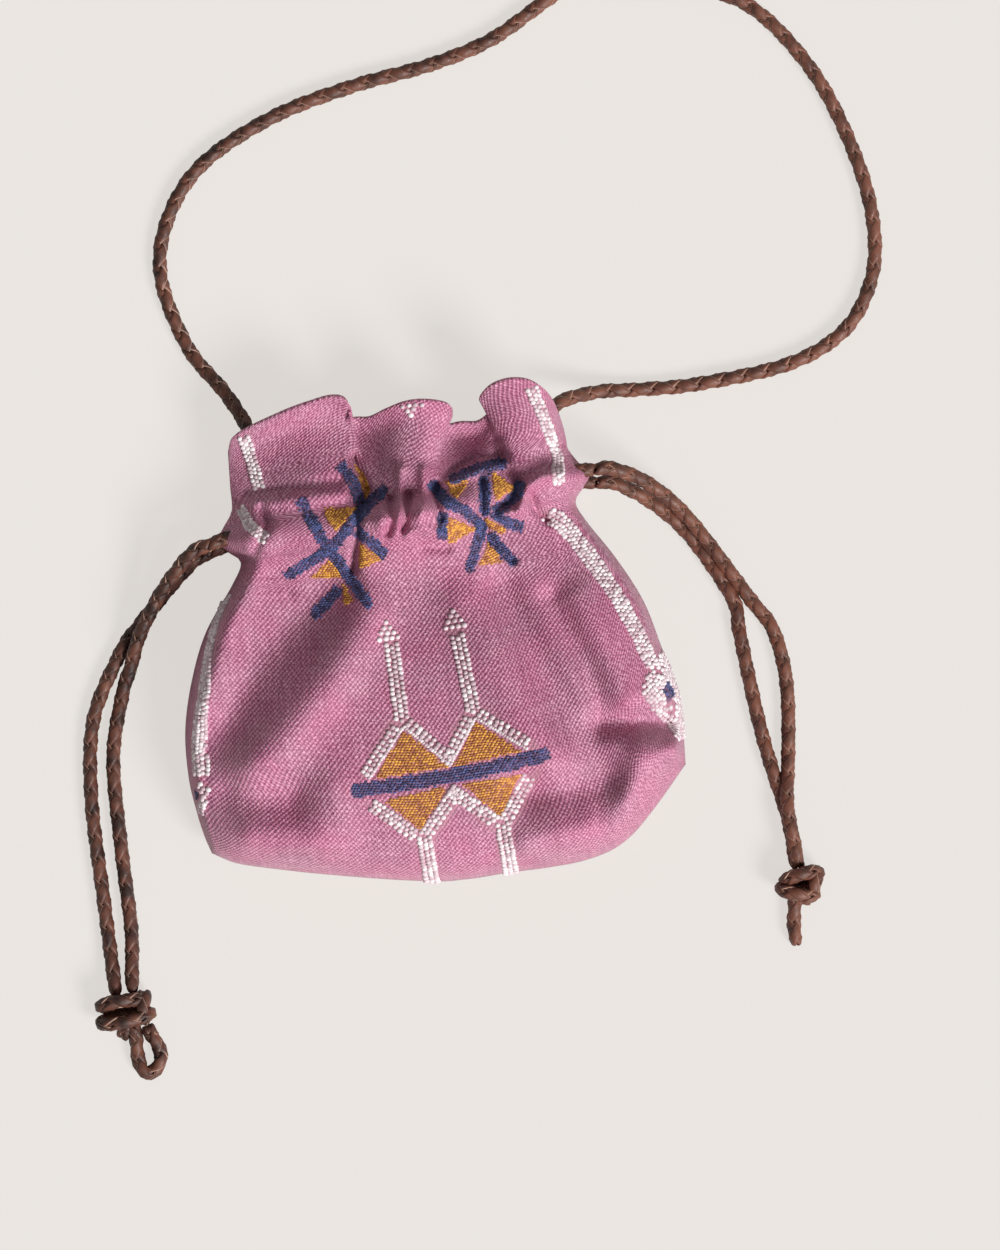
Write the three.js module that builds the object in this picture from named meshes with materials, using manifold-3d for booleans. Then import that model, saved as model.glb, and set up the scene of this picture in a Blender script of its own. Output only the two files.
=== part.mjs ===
import * as THREE from 'three';
import { mergeVertices } from 'three/addons/utils/BufferGeometryUtils.js';
import Module from 'manifold-3d';

const wasm = await Module();
wasm.setup();

// Drawstring pouch of woven cloth, lying on its back. Millimetres, +Y towards the mouth, +Z up.

// Cord and cloth
const CORD_DIAMETER = 5;
const CORD_RADIUS = CORD_DIAMETER / 2;
const GAP = 0.3;
const TUNNEL_RADIUS = CORD_RADIUS + GAP;
const CORD_SIDES = 10;
const WALL = 1.5;
const SEAM_HALF_GAP = GAP / 2;

// Heights of the belly and of the side seams above the table
const SEAM_HEIGHT_BOTTOM = 10;
const SEAM_HEIGHT_NECK = 17;
const SEAM_HEIGHT_EAR = 19;
const CROWN_HEIGHTS = [[0, 41], [0.3, 45], [0.5, 45], [0.75, 42], [1, 37]];
const BELLY_TOP_Y = 30;
const RIM_PART = 0.34;
const SIDE_POWER = 2.6;
const RIM_POWER = 2.2;
const BACK_FLAT = 1.3;

// Gathered casing
const CASING_Y = 46.6;
const CASING_HALF = 7;
const CASING_FADE = 14;
const CASING_EXTRA = 10;
const BACK_CASING_EXTRA = 7.5;

// Yarn fields worked into the cloth
const YARN_LIFT = GAP;
const YARN_THICK = 0.6;

// Outline of the belly, [y, x] up each side and [x, y] along the bottom
const LEFT_SIDE = [
  [-63, -86], [-56, -87.7], [-44, -89], [-34, -89.3], [-20, -87.9], [-8, -84.6],
  [4, -79.9], [16, -73.4], [22, -69], [30, -61.5],
];
const RIGHT_SIDE = [
  [-62, 87], [-50, 88.4], [-38, 89.3], [-26, 87.4], [-14, 85], [-2, 82.8],
  [10, 78.1], [22, 72.2], [30, 67.5],
];
const BOTTOM_EDGE = [
  [-86, -63], [-78, -68.5], [-53, -76.2], [-29, -82.7], [-5, -88.3], [19, -89],
  [43, -90], [55, -88.1], [61, -86], [73, -76], [80, -69], [87, -62],
];

// Places along the casing line where the cloth columns cross it, and the height of the gathers there
const CASING_X = [
  -63.6, -58.2, -51.7, -44.4, -37.2, -29.9, -22.7, -15.4, -9.6, -7.4, -4.9, -2.7, -0.2, 2.7, 5.6,
  8.5, 11.4, 14.7, 19.8, 26.6, 35.3, 43.7, 49.8, 53.5, 57.1, 60.4, 63.3, 66.2, 69.1, 71.6,
];
const CASING_Z = [
  19, 27, 32, 35, 37, 38, 38, 37.5, 36.5, 36, 36, 36.5, 37.5, 38, 38,
  38, 37.5, 37, 36, 35.5, 35.5, 36, 36, 35.5, 34.5, 33, 31.5, 29.5, 26, 19,
];

// Free edge of the ruffle on the front, left seam to right seam: three tabs with two valleys between
const RUFFLE_EDGE = [
  [-54.1, 77.3, 22], [-51.5, 81.9, 27], [-44.9, 84.3, 33], [-36.6, 86.1, 38], [-29, 87.6, 42],
  [-21.6, 88.7, 44], [-14.3, 89.4, 44], [-9.8, 87.8, 41], [-7.8, 83.9, 34], [-9.9, 80.9, 28],
  [-7.3, 81.1, 25], [-2.8, 80.3, 27], [3.3, 81.8, 33], [9.3, 82.8, 39], [15.8, 82.6, 42],
  [22.7, 80.9, 42], [27.2, 78.5, 38], [27, 75, 31], [25.2, 72.7, 26], [29.9, 72.2, 24.5],
  [35.5, 71.4, 24.5], [39.3, 74.2, 28], [37.4, 79.5, 34], [41.7, 83.1, 41], [48.7, 84.2, 45],
  [55.7, 82.6, 45], [60.5, 79, 41], [63.3, 74.1, 35], [64.6, 69, 28], [65.3, 64, 22],
];
const LAST = RUFFLE_EDGE.length - 1;

// Free edge of the ruffle on the back, between the same two seam ends
const BACK_EDGE = [
  [0.05, 76, 14], [0.12, 75, 7], [0.2, 73.5, 3.5], [0.35, 71, 2.5], [0.5, 69, 4], [0.65, 68, 2.5],
  [0.8, 68, 3], [0.88, 67.5, 6], [0.95, 66, 13],
];

// Soft folds in the belly: points along the fold, width, height
const SOFT_FOLDS = [
  { along: [[-31, 23], [-60, -8], [-78, -30]], width: 8, height: -4.5 },
  { along: [[-21, 14], [-46, -20], [-70, -42]], width: 9, height: 4 },
  { along: [[39, 7], [51, -39], [55, -62]], width: 9, height: 3.5 },
  { along: [[58, 3], [63, -30]], width: 7, height: -3.5 },
  { along: [[36, -63], [56, -70]], width: 9, height: -4 },
  { along: [[66, -49], [83, -54]], width: 4, height: -4 },
];

// Small creases between the gathers on the casing: foot, head, width, height
const CREASES = [
  { along: [[-48, 41], [-46.5, 52]], width: 2.4, height: -3 },
  { along: [[-16, 38], [-12.5, 52]], width: 2.2, height: -3.2 },
  { along: [[-1.5, 40], [-0.5, 50]], width: 1.7, height: -3 },
  { along: [[5, 43], [6.2, 54]], width: 1.5, height: -2.8 },
  { along: [[11.5, 42], [12.5, 53]], width: 1.6, height: -2.6 },
  { along: [[17, 40], [18, 52]], width: 1.8, height: -3 },
  { along: [[31, 39], [32.5, 52]], width: 2.2, height: -3 },
  { along: [[47.5, 40], [48.5, 50]], width: 2.2, height: -3 },
];

// Cord routes
const FRONT_RUN = [
  [-66, 45.8, 22.6], [-58, 47.2, 23.4], [-51.7, 46.8, 25.2], [-44, 46.6, 27.6], [-30, 46.6, 30.4],
  [0, 46.6, 30.2], [26, 46.6, 29], [45, 46.6, 28.8], [57, 47.1, 27.1], [63.3, 47.8, 25],
  [68, 48.2, 23.4], [74, 47.6, 22.7],
];
const BACK_RUN = [
  [-66, 43.4, 14.6], [-58, 45.4, 14.2], [-50, 46.4, 8.8], [-42, 46.6, 5], [-30, 46.6, 4.4],
  [0, 46.6, 4.4], [38, 46.6, 4.4], [50, 46.4, 5], [58, 45.8, 9], [66, 44.6, 14.2], [74, 43, 14.8],
];
const LEFT_FRONT_STRAND = [
  [-66.4, 45.73, 22.56], [-72.2, 44.6, 21.9], [-79, 39.6, 18.8], [-88, 31, 13.6], [-97.6, 18.6, 8.8],
  [-103.2, 7.6, 5], [-107.8, -1, 2.6], [-115.3, -23.4, 2.6], [-118.2, -55.5, 2.6], [-119.8, -84.3, 2.8],
  [-122.4, -101, 5.2], [-123.2, -107.5, 6.2],
];
const LEFT_BACK_STRAND = [
  [-66.4, 43.3, 14.62], [-72.2, 41.8, 14.4], [-80, 36.6, 10.4], [-90, 28.6, 4.6], [-98.6, 21.2, 2.6],
  [-106, 13.6, 2.6], [-119.7, -8.1, 2.6], [-125.6, -36, 2.6], [-127.7, -71.9, 2.6], [-128.6, -90, 3],
  [-129, -101, 5.2], [-129.2, -107.5, 6.2],
];
const RIGHT_FRONT_STRAND = [
  [74.4, 47.56, 22.65], [80, 46.8, 21.8], [92, 39.2, 14.5], [104.2, 24.2, 7.2], [112.5, 8, 3.4],
  [117.5, -6, 2.6], [125.4, -27.2, 2.6], [125.4, -56.1, 2.6], [122, -80.5, 3], [121.6, -98, 5.6],
  [121.8, -106, 6.4],
];
const RIGHT_BACK_STRAND = [
  [74.4, 42.92, 14.82], [80.2, 41.6, 14.6], [92, 32.6, 7.2], [102, 18.2, 3], [107.6, 5, 2.6],
  [111, -6.2, 2.6], [114.2, -25.3, 2.6], [115.4, -50.8, 2.6], [116, -80.1, 3], [116.2, -98, 5.6],
  [116.4, -106, 6.4],
];
const STRAP_LEFT = [
  [-52.2, 59.5, 20.2], [-50.4, 66, 19.8], [-47.6, 76, 18.6], [-46, 84.5, 16.6], [-52, 99, 9],
  [-62.4, 117.7, 2.7], [-67.4, 144, 2.6], [-61.1, 164.6, 2.6], [-45.3, 181.7, 2.6], [-17.7, 193.7, 2.6],
  [12.4, 199.5, 2.6], [41.9, 202.2, 2.6], [64.6, 207.1, 2.6], [84.4, 216.2, 2.6], [103, 224.6, 2.6],
  [112, 227.4, 2.6],
];
const STRAP_RIGHT = [
  [61.4, 56.5, 20.2], [60.6, 62, 19.8], [61, 69, 18.4], [66.4, 74, 14.4], [80.5, 75.3, 5.6],
  [95, 73.6, 2.6], [116.2, 71.8, 2.6], [149.1, 73, 2.6], [170.5, 80.8, 2.6], [182.8, 94.9, 2.6],
  [188.1, 112.1, 2.6], [187.7, 135.7, 2.6], [180.5, 166.1, 2.6], [170, 187.9, 2.6], [158.2, 202.8, 2.7],
  [144, 211.5, 4.2], [124, 222.5, 8], [112, 234, 8],
];
const COIL_CENTRE = [129.6, 255.2];
const COIL_INNER = 20.2;
const COIL_OUTER = 35.2;
const COIL_HEIGHT = 10.6;
const COIL_CORNER = 2.5;

// Knots: wraps as flattened rounds, and the loop or tail of cord that leaves the knot
const LEFT_BANDS = [
  { middle: [-125.8, -109.8, 6.2], half: [11.4, 3.7, 6.1], turn: -0.18 },
  { middle: [-127, -115.6, 6.1], half: [10, 3.7, 6], turn: -0.18 },
];
const LEFT_LOOP = [
  [-124.6, -117, 4.6], [-126.2, -124, 3], [-125.8, -131, 2.6], [-122.4, -135.6, 2.6], [-118.2, -133.6, 2.6],
  [-117.4, -127.6, 3], [-119.6, -121, 4], [-122.2, -116.6, 4.8],
];
const RIGHT_BANDS = [
  { middle: [121.4, -109.8, 6.3], half: [8.8, 4, 6.1], turn: 0.12 },
  { middle: [119.8, -114.8, 6.2], half: [8.2, 3.8, 6], turn: -0.4 },
];
const RIGHT_TAIL = [[118.4, -114, 5], [116.6, -122, 3], [115, -127, 2.6], [113.9, -132, 2.6]];

// Yarn fields seen from above, in millimetres
const BAR_WIDTH = 5.4;
const CROSS_WIDTH = 4;
const SIDE_STRIPE_WIDTH = 4.6;
const COLLAR_STRIPE_WIDTH = 3.8;
const BAR = [[-30.4, -49.7], [37.9, -48.7]];
const UPPER_ZIGZAG = [
  ...[[-24.8, -46.7], [-10.1, -31.2], [4, -48], [16, -32.4], [29.9, -45.8], [36, -45.8], [38.4, -43]],
  ...[[19.5, -29], [18, -29.1], [16.9, -7.5], [18.3, -1.6], [14.7, 7.1], [10, 1], [10.5, -6.3]],
  [11.4, -29.3],
  ...[[3.6, -40.3], [-6.8, -27.5], [-7.3, -26.7], [-5.9, -2.6], [-5.3, 0.2], [-9.2, 7.8], [-13.2, 1.6],
    [-11.8, -1.5], [-13, -26], [-27.6, -42.2]],
];
const LOWER_ZIGZAG = [
  ...[[-24.6, -54], [-10.5, -67.8], [4.2, -54.9], [19.5, -70.7], [28.3, -54.5], [34.4, -54.6], [30.9, -59.8]],
  ...[[22.3, -73.4], [21.5, -89.6], [15.8, -89], [15.9, -72.6], [3.5, -60.9], [-6.5, -72.2], [-6.9, -88.4],
    [-13.7, -87.9], [-12.8, -72.9], [-28, -56.7]],
];
const ORANGE_TRIANGLES = [
  [[-10.1, -33.1], [-20.6, -45.8], [0.5, -45.7]],
  [[16.2, -34.6], [6.7, -45.5], [27.4, -45.3]],
  [[-19.9, -54.9], [-10.3, -67.1], [-0.1, -54.7]],
  [[7.7, -54.8], [19.6, -67.5], [26.4, -54.8]],
];
const LEFT_CROSS = [
  [[-31.4, 54.7], [-25, 36.8]],
  [[-39.8, 30.4], [-24.9, 36.4], [-20.6, 28], [-15.2, 15.8]],
  [[-24.9, 36.4], [-11.7, 47.1], [-3.3, 53.2]],
  [[-13.6, 40.5], [-6.7, 30.9]],
  [[-15.2, 64.1], [-11.5, 52.1]],
  [[-33.8, 15.2], [-25.5, 21.3]],
];
const LEFT_CROSS_ORANGE = [
  [[-24.3, 51.6], [-13.4, 49.6], [-21.7, 42]],
  [[-32.6, 28], [-25, 32.8], [-22.3, 26.5]],
  [[-12.6, 36], [-7.3, 29.6], [-14.4, 28.3]],
  [[-22.2, 23.6], [-20.1, 16.7], [-23.1, 16.5]],
];
const RIGHT_CROSS = [
  [[15.7, 51.9], [19.9, 45.3], [25.7, 41], [30.7, 34.7], [23.6, 21.4]],
  [[34.9, 53.9], [32.9, 40.8], [39, 40.8], [45.5, 46.5]],
  [[32.8, 40.5], [43.4, 32.7]],
  [[32.9, 30.6], [38.6, 20.5]],
  [[23.2, 53.5], [32.9, 55], [41.3, 54.9]],
];
const RIGHT_CROSS_ORANGE = [
  [[20, 51.9], [26.6, 52.1], [23.1, 46.9]],
  [[37.1, 52], [42.6, 48.1], [36.7, 44.1]],
  [[19.6, 39.6], [26.7, 34.7], [18.2, 31.9]],
  [[32.9, 36.8], [37.6, 32.7], [35.6, 31.6], [32.1, 34.4]],
  [[31, 28.4], [34.8, 21.2], [27.3, 21.9]],
];
const LEFT_SIDE_STRIPE = [[-64.3, 25.4], [-70.3, 16.4], [-74.8, 5.6], [-78.1, -4.7], [-81.4, -15],
  [-84.1, -25.4], [-85, -34.3]];
const LEFT_SIDE_DIAMOND = [[-85.2, -35.7], [-82.4, -40.2], [-84.1, -45.7], [-86, -48.3], [-87.3, -47.3],
  [-86.7, -44.2], [-85.2, -41.6], [-86.4, -38.1]];
const LEFT_SIDE_BLUE = [[-87.4, -39], [-86.1, -41.4], [-87.5, -43.3]];
const RIGHT_SIDE_STRIPE = [[54.7, 35], [59.6, 30.1], [66.9, 16.5], [73.6, 1.1], [78.3, -12.8], [81.4, -25.7]];
const RIGHT_SIDE_DIAMOND = [[81.9, -27.3], [77, -34], [81.4, -41.7], [84.2, -46.6], [85.2, -44.6],
  [84.6, -40.1], [82.6, -35.4], [84.9, -30.7]];
const RIGHT_SIDE_BLUE = [[85.7, -32], [83.6, -35.6], [85.2, -39.1], [86.4, -36.1]];
const LEFT_COLLAR_STRIPE = [[-47.6, 81.2], [-46.3, 72.3], [-45.5, 62.7]];
const RIGHT_COLLAR_STRIPE = [[56.7, 80], [58.5, 71.7], [59.9, 63.8], [61.6, 54.8], [62.1, 49.7]];
const MIDDLE_TAB_MARK = [[10, 82.7], [16.7, 81.8], [12.6, 79]];

const COLOURS = {
  cloth: 0xb9748f, backCloth: 0xb06b86, leather: 0x5b352a, white: 0xe9dbe0, orange: 0xc98a3c, blue: 0x3a426f,
};
const cloth = new THREE.MeshStandardMaterial({ color: COLOURS.cloth, roughness: 0.75, metalness: 0 });
const backCloth = new THREE.MeshStandardMaterial({ color: COLOURS.backCloth, roughness: 0.75, metalness: 0 });
const leather = new THREE.MeshStandardMaterial({ color: COLOURS.leather, roughness: 0.55, metalness: 0 });
const whiteYarn = new THREE.MeshStandardMaterial({ color: COLOURS.white, roughness: 0.7, metalness: 0 });
const orangeYarn = new THREE.MeshStandardMaterial({ color: COLOURS.orange, roughness: 0.7, metalness: 0 });
const blueYarn = new THREE.MeshStandardMaterial({ color: COLOURS.blue, roughness: 0.7, metalness: 0 });

const pouch = new THREE.Group();
pouch.name = 'drawstring_pouch';

const lerp = (a, b, f) => a + (b - a) * f;
const clamp01 = (v) => Math.min(1, Math.max(0, v));
const smooth = (v) => clamp01(v) * clamp01(v) * (3 - 2 * clamp01(v));
const table = (rows, at) => {
  if (at <= rows[0][0]) return rows[0][1];
  for (let i = 1; i < rows.length; i += 1) {
    if (at <= rows[i][0]) {
      const f = (at - rows[i - 1][0]) / (rows[i][0] - rows[i - 1][0]);
      return lerp(rows[i - 1][1], rows[i][1], f);
    }
  }
  return rows[rows.length - 1][1];
};
const mix = (a, b, f) => a.map((v, i) => lerp(v, b[i], f));

// Smooth interpolation through a row of points and through a net of rows
const through = (a, b, c, d, f) => {
  const g = f * f;
  const h = g * f;
  return a.map((v, i) => 0.5 * (2 * b[i] + (c[i] - v) * f + (2 * v - 5 * b[i] + 4 * c[i] - d[i]) * g
    + (3 * b[i] - v - 3 * c[i] + d[i]) * h));
};
const beyond = (a, b) => a.map((v, i) => 2 * v - b[i]);
const alongList = (list, at) => {
  const n = list.length - 1;
  const i = Math.min(n - 1, Math.max(0, Math.floor(at)));
  const before = i > 0 ? list[i - 1] : beyond(list[0], list[1]);
  const after = i + 2 <= n ? list[i + 2] : beyond(list[n], list[n - 1]);
  return through(before, list[i], list[i + 1], after, at - i);
};
const onNet = (net, column, row) => {
  const n = net.length - 1;
  const i = Math.min(n - 1, Math.max(0, Math.floor(row)));
  const at = (r) => alongList(net[r], column);
  const b = at(i);
  const c = at(i + 1);
  const a = i > 0 ? at(i - 1) : beyond(b, c);
  const d = i + 2 <= n ? at(i + 2) : beyond(c, b);
  return through(a, b, c, d, row - i);
};

// Net of the front panel: belly rows, casing rows, ruffle rows
const spread = (k) => k / LAST - 0.6 * Math.sin((2 * Math.PI * k) / LAST) / (2 * Math.PI);
const gathered = (k) => (CASING_X[k] - CASING_X[0]) / (CASING_X[LAST] - CASING_X[0]);
const sideShape = (f, power) => Math.pow(Math.max(0, 1 - Math.pow(Math.abs(2 * f - 1), power)), 1 / power);
const rimShape = (t, power) => {
  if (t >= RIM_PART) return 1;
  return Math.pow(1 - Math.pow(1 - t / RIM_PART, power), 1 / power);
};
const bellySeam = (t) => lerp(SEAM_HEIGHT_BOTTOM, SEAM_HEIGHT_NECK, t);
const bellyPlan = (t, fraction, bottomFraction) => {
  const xb = lerp(LEFT_SIDE[0][1], RIGHT_SIDE[0][1], bottomFraction);
  const xl = table(LEFT_SIDE, lerp(LEFT_SIDE[0][0], BELLY_TOP_Y, t));
  const xr = table(RIGHT_SIDE, lerp(RIGHT_SIDE[0][0], BELLY_TOP_Y, t));
  return [lerp(xl, xr, fraction), lerp(table(BOTTOM_EDGE, xb), BELLY_TOP_Y, t)];
};
const BELLY_ROWS = [0, 0.02, 0.07, 0.16, 0.3, 0.48, 0.66, 0.84, 1];
const columns = Array.from({ length: LAST + 1 }, (_, k) => k);
const bellyRow = (t) => columns.map((k) => {
  const f = lerp(spread(k), gathered(k), smooth(t));
  const [x, y] = bellyPlan(t, f, spread(k));
  const bulge = rimShape(t, RIM_POWER) * sideShape(f, SIDE_POWER);
  return [x, y, lerp(bellySeam(t), table(CROWN_HEIGHTS, t), bulge)];
});
const neckRow = (y, left, right, seam, height) => columns.map((k) => {
  const edge = k === 0 || k === LAST;
  return [lerp(left, right, gathered(k)), y, edge ? seam : height(k)];
});
const bellyTop = bellyRow(1);
const rowBelow = neckRow(37.5, -56.8, 64.8, 18, (k) => lerp(bellyTop[k][2], CASING_Z[k], 0.5));
const casingLow = neckRow(CASING_Y - 4.6, -60.5, 68.4, 18.6, (k) => CASING_Z[k] - 0.6);
const casingMid = neckRow(CASING_Y, CASING_X[0], CASING_X[LAST], SEAM_HEIGHT_EAR, (k) => CASING_Z[k]);
const casingTop = neckRow(CASING_Y + 4.6, -60.5, 68.4, 19, (k) => CASING_Z[k] - 1.5);
const footHeight = (k) => lerp(SEAM_HEIGHT_EAR + 0.5, CASING_Z[k] - 5, 0.94);
const ruffleFoot = neckRow(56.5, -56.6, 65.6, 19.5, footHeight);
const ruffleLow = ruffleFoot.map((p, k) => mix(p, RUFFLE_EDGE[k], 0.4));
const ruffleHigh = ruffleFoot.map((p, k) => mix(p, RUFFLE_EDGE[k], 0.75));
const FRONT_NET = [
  ...BELLY_ROWS.map(bellyRow), rowBelow, casingLow, casingMid, casingTop,
  ruffleFoot, ruffleLow, ruffleHigh, RUFFLE_EDGE,
];
const CASING_ROW = BELLY_ROWS.length + 2;
const ROWS = FRONT_NET.length - 1;

// Net of the back panel: the same seams, flat on the table between them
const BACK_COLUMNS = [
  0, 0.02, 0.05, 0.09, 0.14, 0.2, 0.3, 0.4, 0.5, 0.6, 0.7, 0.8, 0.86, 0.91, 0.95, 0.98, 1,
];
const backDrop = (f, power) => Math.max(0, 1 - BACK_FLAT * sideShape(f, power));
const backBellyRow = (t) => BACK_COLUMNS.map((f) => {
  const [x, y] = bellyPlan(t, f, f);
  const flat = Math.min(1, BACK_FLAT * rimShape(t, RIM_POWER) * sideShape(f, SIDE_POWER));
  return [x, y, bellySeam(t) * (1 - flat)];
});
const backNeckRow = (front) => BACK_COLUMNS.map((f) => {
  const a = front[0];
  const b = front[LAST];
  const seam = lerp(a[2], b[2], f);
  return [lerp(a[0], b[0], f), lerp(a[1], b[1], f), seam * backDrop(f, 3.4)];
});
const backEdgeTable = (i) => [
  [0, RUFFLE_EDGE[0][i]], ...BACK_EDGE.map((p) => [p[0], p[i]]), [1, RUFFLE_EDGE[LAST][i]],
];
const backEdge = BACK_COLUMNS.map((f) => [
  lerp(RUFFLE_EDGE[0][0], RUFFLE_EDGE[LAST][0], f), table(backEdgeTable(1), f), table(backEdgeTable(2), f),
]);
const backFoot = backNeckRow(ruffleFoot);
const BACK_NET = [
  ...BELLY_ROWS.map(backBellyRow), backNeckRow(rowBelow), backNeckRow(casingLow), backNeckRow(casingMid),
  backNeckRow(casingTop), backFoot, backFoot.map((p, k) => mix(p, backEdge[k], 0.4)),
  backFoot.map((p, k) => mix(p, backEdge[k], 0.75)), backEdge,
];
const BACK_LAST = BACK_COLUMNS.length - 1;

// Folds are measured from above: distance to the line of the fold
const foldHeight = (folds, x, y) => folds.reduce((sum, fold) => {
  let best = Infinity;
  for (let i = 1; i < fold.along.length; i += 1) {
    const [ax, ay] = fold.along[i - 1];
    const [bx, by] = fold.along[i];
    const f = clamp01(((x - ax) * (bx - ax) + (y - ay) * (by - ay)) / ((bx - ax) ** 2 + (by - ay) ** 2));
    best = Math.min(best, Math.hypot(x - lerp(ax, bx, f), y - lerp(ay, by, f)));
  }
  return sum + fold.height * Math.exp(-((best / fold.width) ** 2));
}, 0);
const edgeFade = (column, row) => smooth(Math.min(column, LAST - column) / 3) * smooth((row - 0.5) / 3)
  * smooth((CASING_ROW + 1 - row) / 2);
const softFront = (column, row) => {
  const [x, y, z] = onNet(FRONT_NET, column, row);
  return [x, y, z + foldHeight(SOFT_FOLDS, x, y) * edgeFade(column, row)];
};
const creasedFront = (column, row) => {
  const [x, y, z] = softFront(column, row);
  const near = smooth((2.4 - Math.abs(row - CASING_ROW)) / 1.4) * smooth(Math.min(column, LAST - column) / 2);
  return [x, y, z + foldHeight(CREASES, x, y) * near];
};
const casingPart = (y) => smooth((CASING_FADE - Math.abs(y - CASING_Y)) / (CASING_FADE - CASING_HALF));
const normalAt = (surface, column, row, lastColumn) => {
  const d = 0.04;
  const c0 = surface(Math.max(0, column - d), row);
  const c1 = surface(Math.min(lastColumn, column + d), row);
  const r0 = surface(column, Math.max(0, row - d));
  const r1 = surface(column, Math.min(ROWS, row + d));
  const u = new THREE.Vector3(c1[0] - c0[0], c1[1] - c0[1], c1[2] - c0[2]);
  const v = new THREE.Vector3(r1[0] - r0[0], r1[1] - r0[1], r1[2] - r0[2]);
  return u.cross(v).normalize();
};
const seamInward = (column, row, lastColumn) => {
  if (row === 0) return [-0.02 * (column - lastColumn / 2), 1];
  return [column < lastColumn / 2 ? 1 : -1, 0];
};

const grid = (columnList, rowList, point) => rowList.map((r) => columnList.map((c) => point(c, r)));
const FRONT_COLUMN_STEPS = columns.slice(0, LAST).flatMap((k) => {
  const fine = k < 2 || (k >= 7 && k < 12) || (k >= 16 && k < 24) || k >= LAST - 2;
  return fine ? [k, k + 0.5] : [k];
}).concat(LAST);
const ROW_STEPS = FRONT_NET.slice(0, ROWS).flatMap((_, r) => {
  const fine = (r >= 3 && r < 8) || (r >= CASING_ROW - 1 && r < CASING_ROW + 2);
  return fine ? [r, r + 0.5] : [r];
}).concat(ROWS);
const BACK_COLUMN_STEPS = BACK_COLUMNS.map((_, k) => k);

const frontOuter = grid(FRONT_COLUMN_STEPS, ROW_STEPS, (c, r) => {
  const [x, y, z] = creasedFront(c, r);
  return [x, y, z + SEAM_HALF_GAP];
});
const frontInner = grid(FRONT_COLUMN_STEPS, ROW_STEPS, (c, r) => {
  const [x, y, z] = softFront(c, r);
  const seam = onNet(FRONT_NET, c < LAST / 2 ? 0 : LAST, r)[2];
  if (c === 0 || c === LAST || r === 0) {
    const [dx, dy] = seamInward(c, r, LAST);
    const long = Math.hypot(dx, dy);
    return [x + (WALL * dx) / long, y + (WALL * dy) / long, z + SEAM_HALF_GAP];
  }
  const n = normalAt(softFront, c, r, LAST);
  const extra = Math.min(CASING_EXTRA * casingPart(y), Math.max(0, z - seam - 2.2));
  const deep = z - WALL * n.z - extra;
  return [x - WALL * n.x, y - WALL * n.y, Math.max(deep, seam + 0.5) + SEAM_HALF_GAP];
});
const backOuter = grid(BACK_COLUMN_STEPS, ROW_STEPS, (c, r) => {
  const [x, y, z] = onNet(BACK_NET, c, r);
  return [x, y, Math.max(0, z - SEAM_HALF_GAP)];
});
const backSurface = (c, r) => onNet(BACK_NET, c, r);
const backInner = grid(BACK_COLUMN_STEPS, ROW_STEPS, (c, r) => {
  const [x, y, raw] = backSurface(c, r);
  const z = Math.max(0, raw - SEAM_HALF_GAP);
  const seam = backSurface(c < BACK_LAST / 2 ? 0 : BACK_LAST, r)[2];
  if (c === 0 || c === BACK_LAST || r === 0) {
    const [dx, dy] = seamInward(c, r, BACK_LAST);
    const long = Math.hypot(dx, dy);
    return [x + (WALL * dx) / long, y + (WALL * dy) / long, z];
  }
  const n = normalAt(backSurface, c, r, BACK_LAST);
  const extra = Math.min(BACK_CASING_EXTRA * casingPart(y), Math.max(0, seam - 2.2 - z));
  return [x + WALL * n.x, y + WALL * n.y, Math.min(z + WALL * n.z + extra, seam - 0.5)];
});

// Closed solid between two grids, the first one on the upper side
const between = (upper, lower) => {
  const rows = upper.length;
  const wide = upper[0].length;
  const vertices = [...upper.flat(), ...lower.flat()];
  const at = (r, c) => r * wide + c;
  const under = rows * wide;
  const faces = [];
  for (let r = 0; r + 1 < rows; r += 1) {
    for (let c = 0; c + 1 < wide; c += 1) {
      const [a, b, d, e] = [at(r, c), at(r, c + 1), at(r + 1, c + 1), at(r + 1, c)];
      faces.push([a, b, d], [a, d, e]);
      faces.push([under + a, under + d, under + b], [under + a, under + e, under + d]);
    }
  }
  const loop = [];
  for (let c = 0; c + 1 < wide; c += 1) loop.push([at(0, c), at(0, c + 1)]);
  for (let r = 0; r + 1 < rows; r += 1) loop.push([at(r, wide - 1), at(r + 1, wide - 1)]);
  for (let c = wide - 1; c > 0; c -= 1) loop.push([at(rows - 1, c), at(rows - 1, c - 1)]);
  for (let r = rows - 1; r > 0; r -= 1) loop.push([at(r, 0), at(r - 1, 0)]);
  loop.forEach(([a, b]) => faces.push([b, a, under + a], [b, under + a, under + b]));
  return new wasm.Manifold(new wasm.Mesh({
    numProp: 3,
    vertProperties: new Float32Array(vertices.flat()),
    triVerts: new Uint32Array(faces.flat()),
  }));
};
const solidOf = (geometry) => {
  const bare = geometry.clone();
  bare.deleteAttribute('normal');
  bare.deleteAttribute('uv');
  const merged = mergeVertices(bare, 1e-3);
  return new wasm.Manifold(new wasm.Mesh({
    numProp: 3,
    vertProperties: new Float32Array(merged.attributes.position.array),
    triVerts: new Uint32Array(merged.index.array),
  }));
};
const addNode = (name, geometry, material) => {
  const mesh = new THREE.Mesh(geometry, material);
  mesh.name = name;
  pouch.add(mesh);
};
const addSolid = (name, solid, material) => {
  const mesh = solid.getMesh();
  const geometry = new THREE.BufferGeometry();
  geometry.setAttribute('position', new THREE.BufferAttribute(new Float32Array(mesh.vertProperties), 3));
  geometry.setIndex(new THREE.BufferAttribute(new Uint32Array(mesh.triVerts), 1));
  geometry.computeVertexNormals();
  addNode(name, geometry, material);
};
const largest = (solid) => solid.decompose().sort((a, b) => b.volume() - a.volume())[0];

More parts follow.
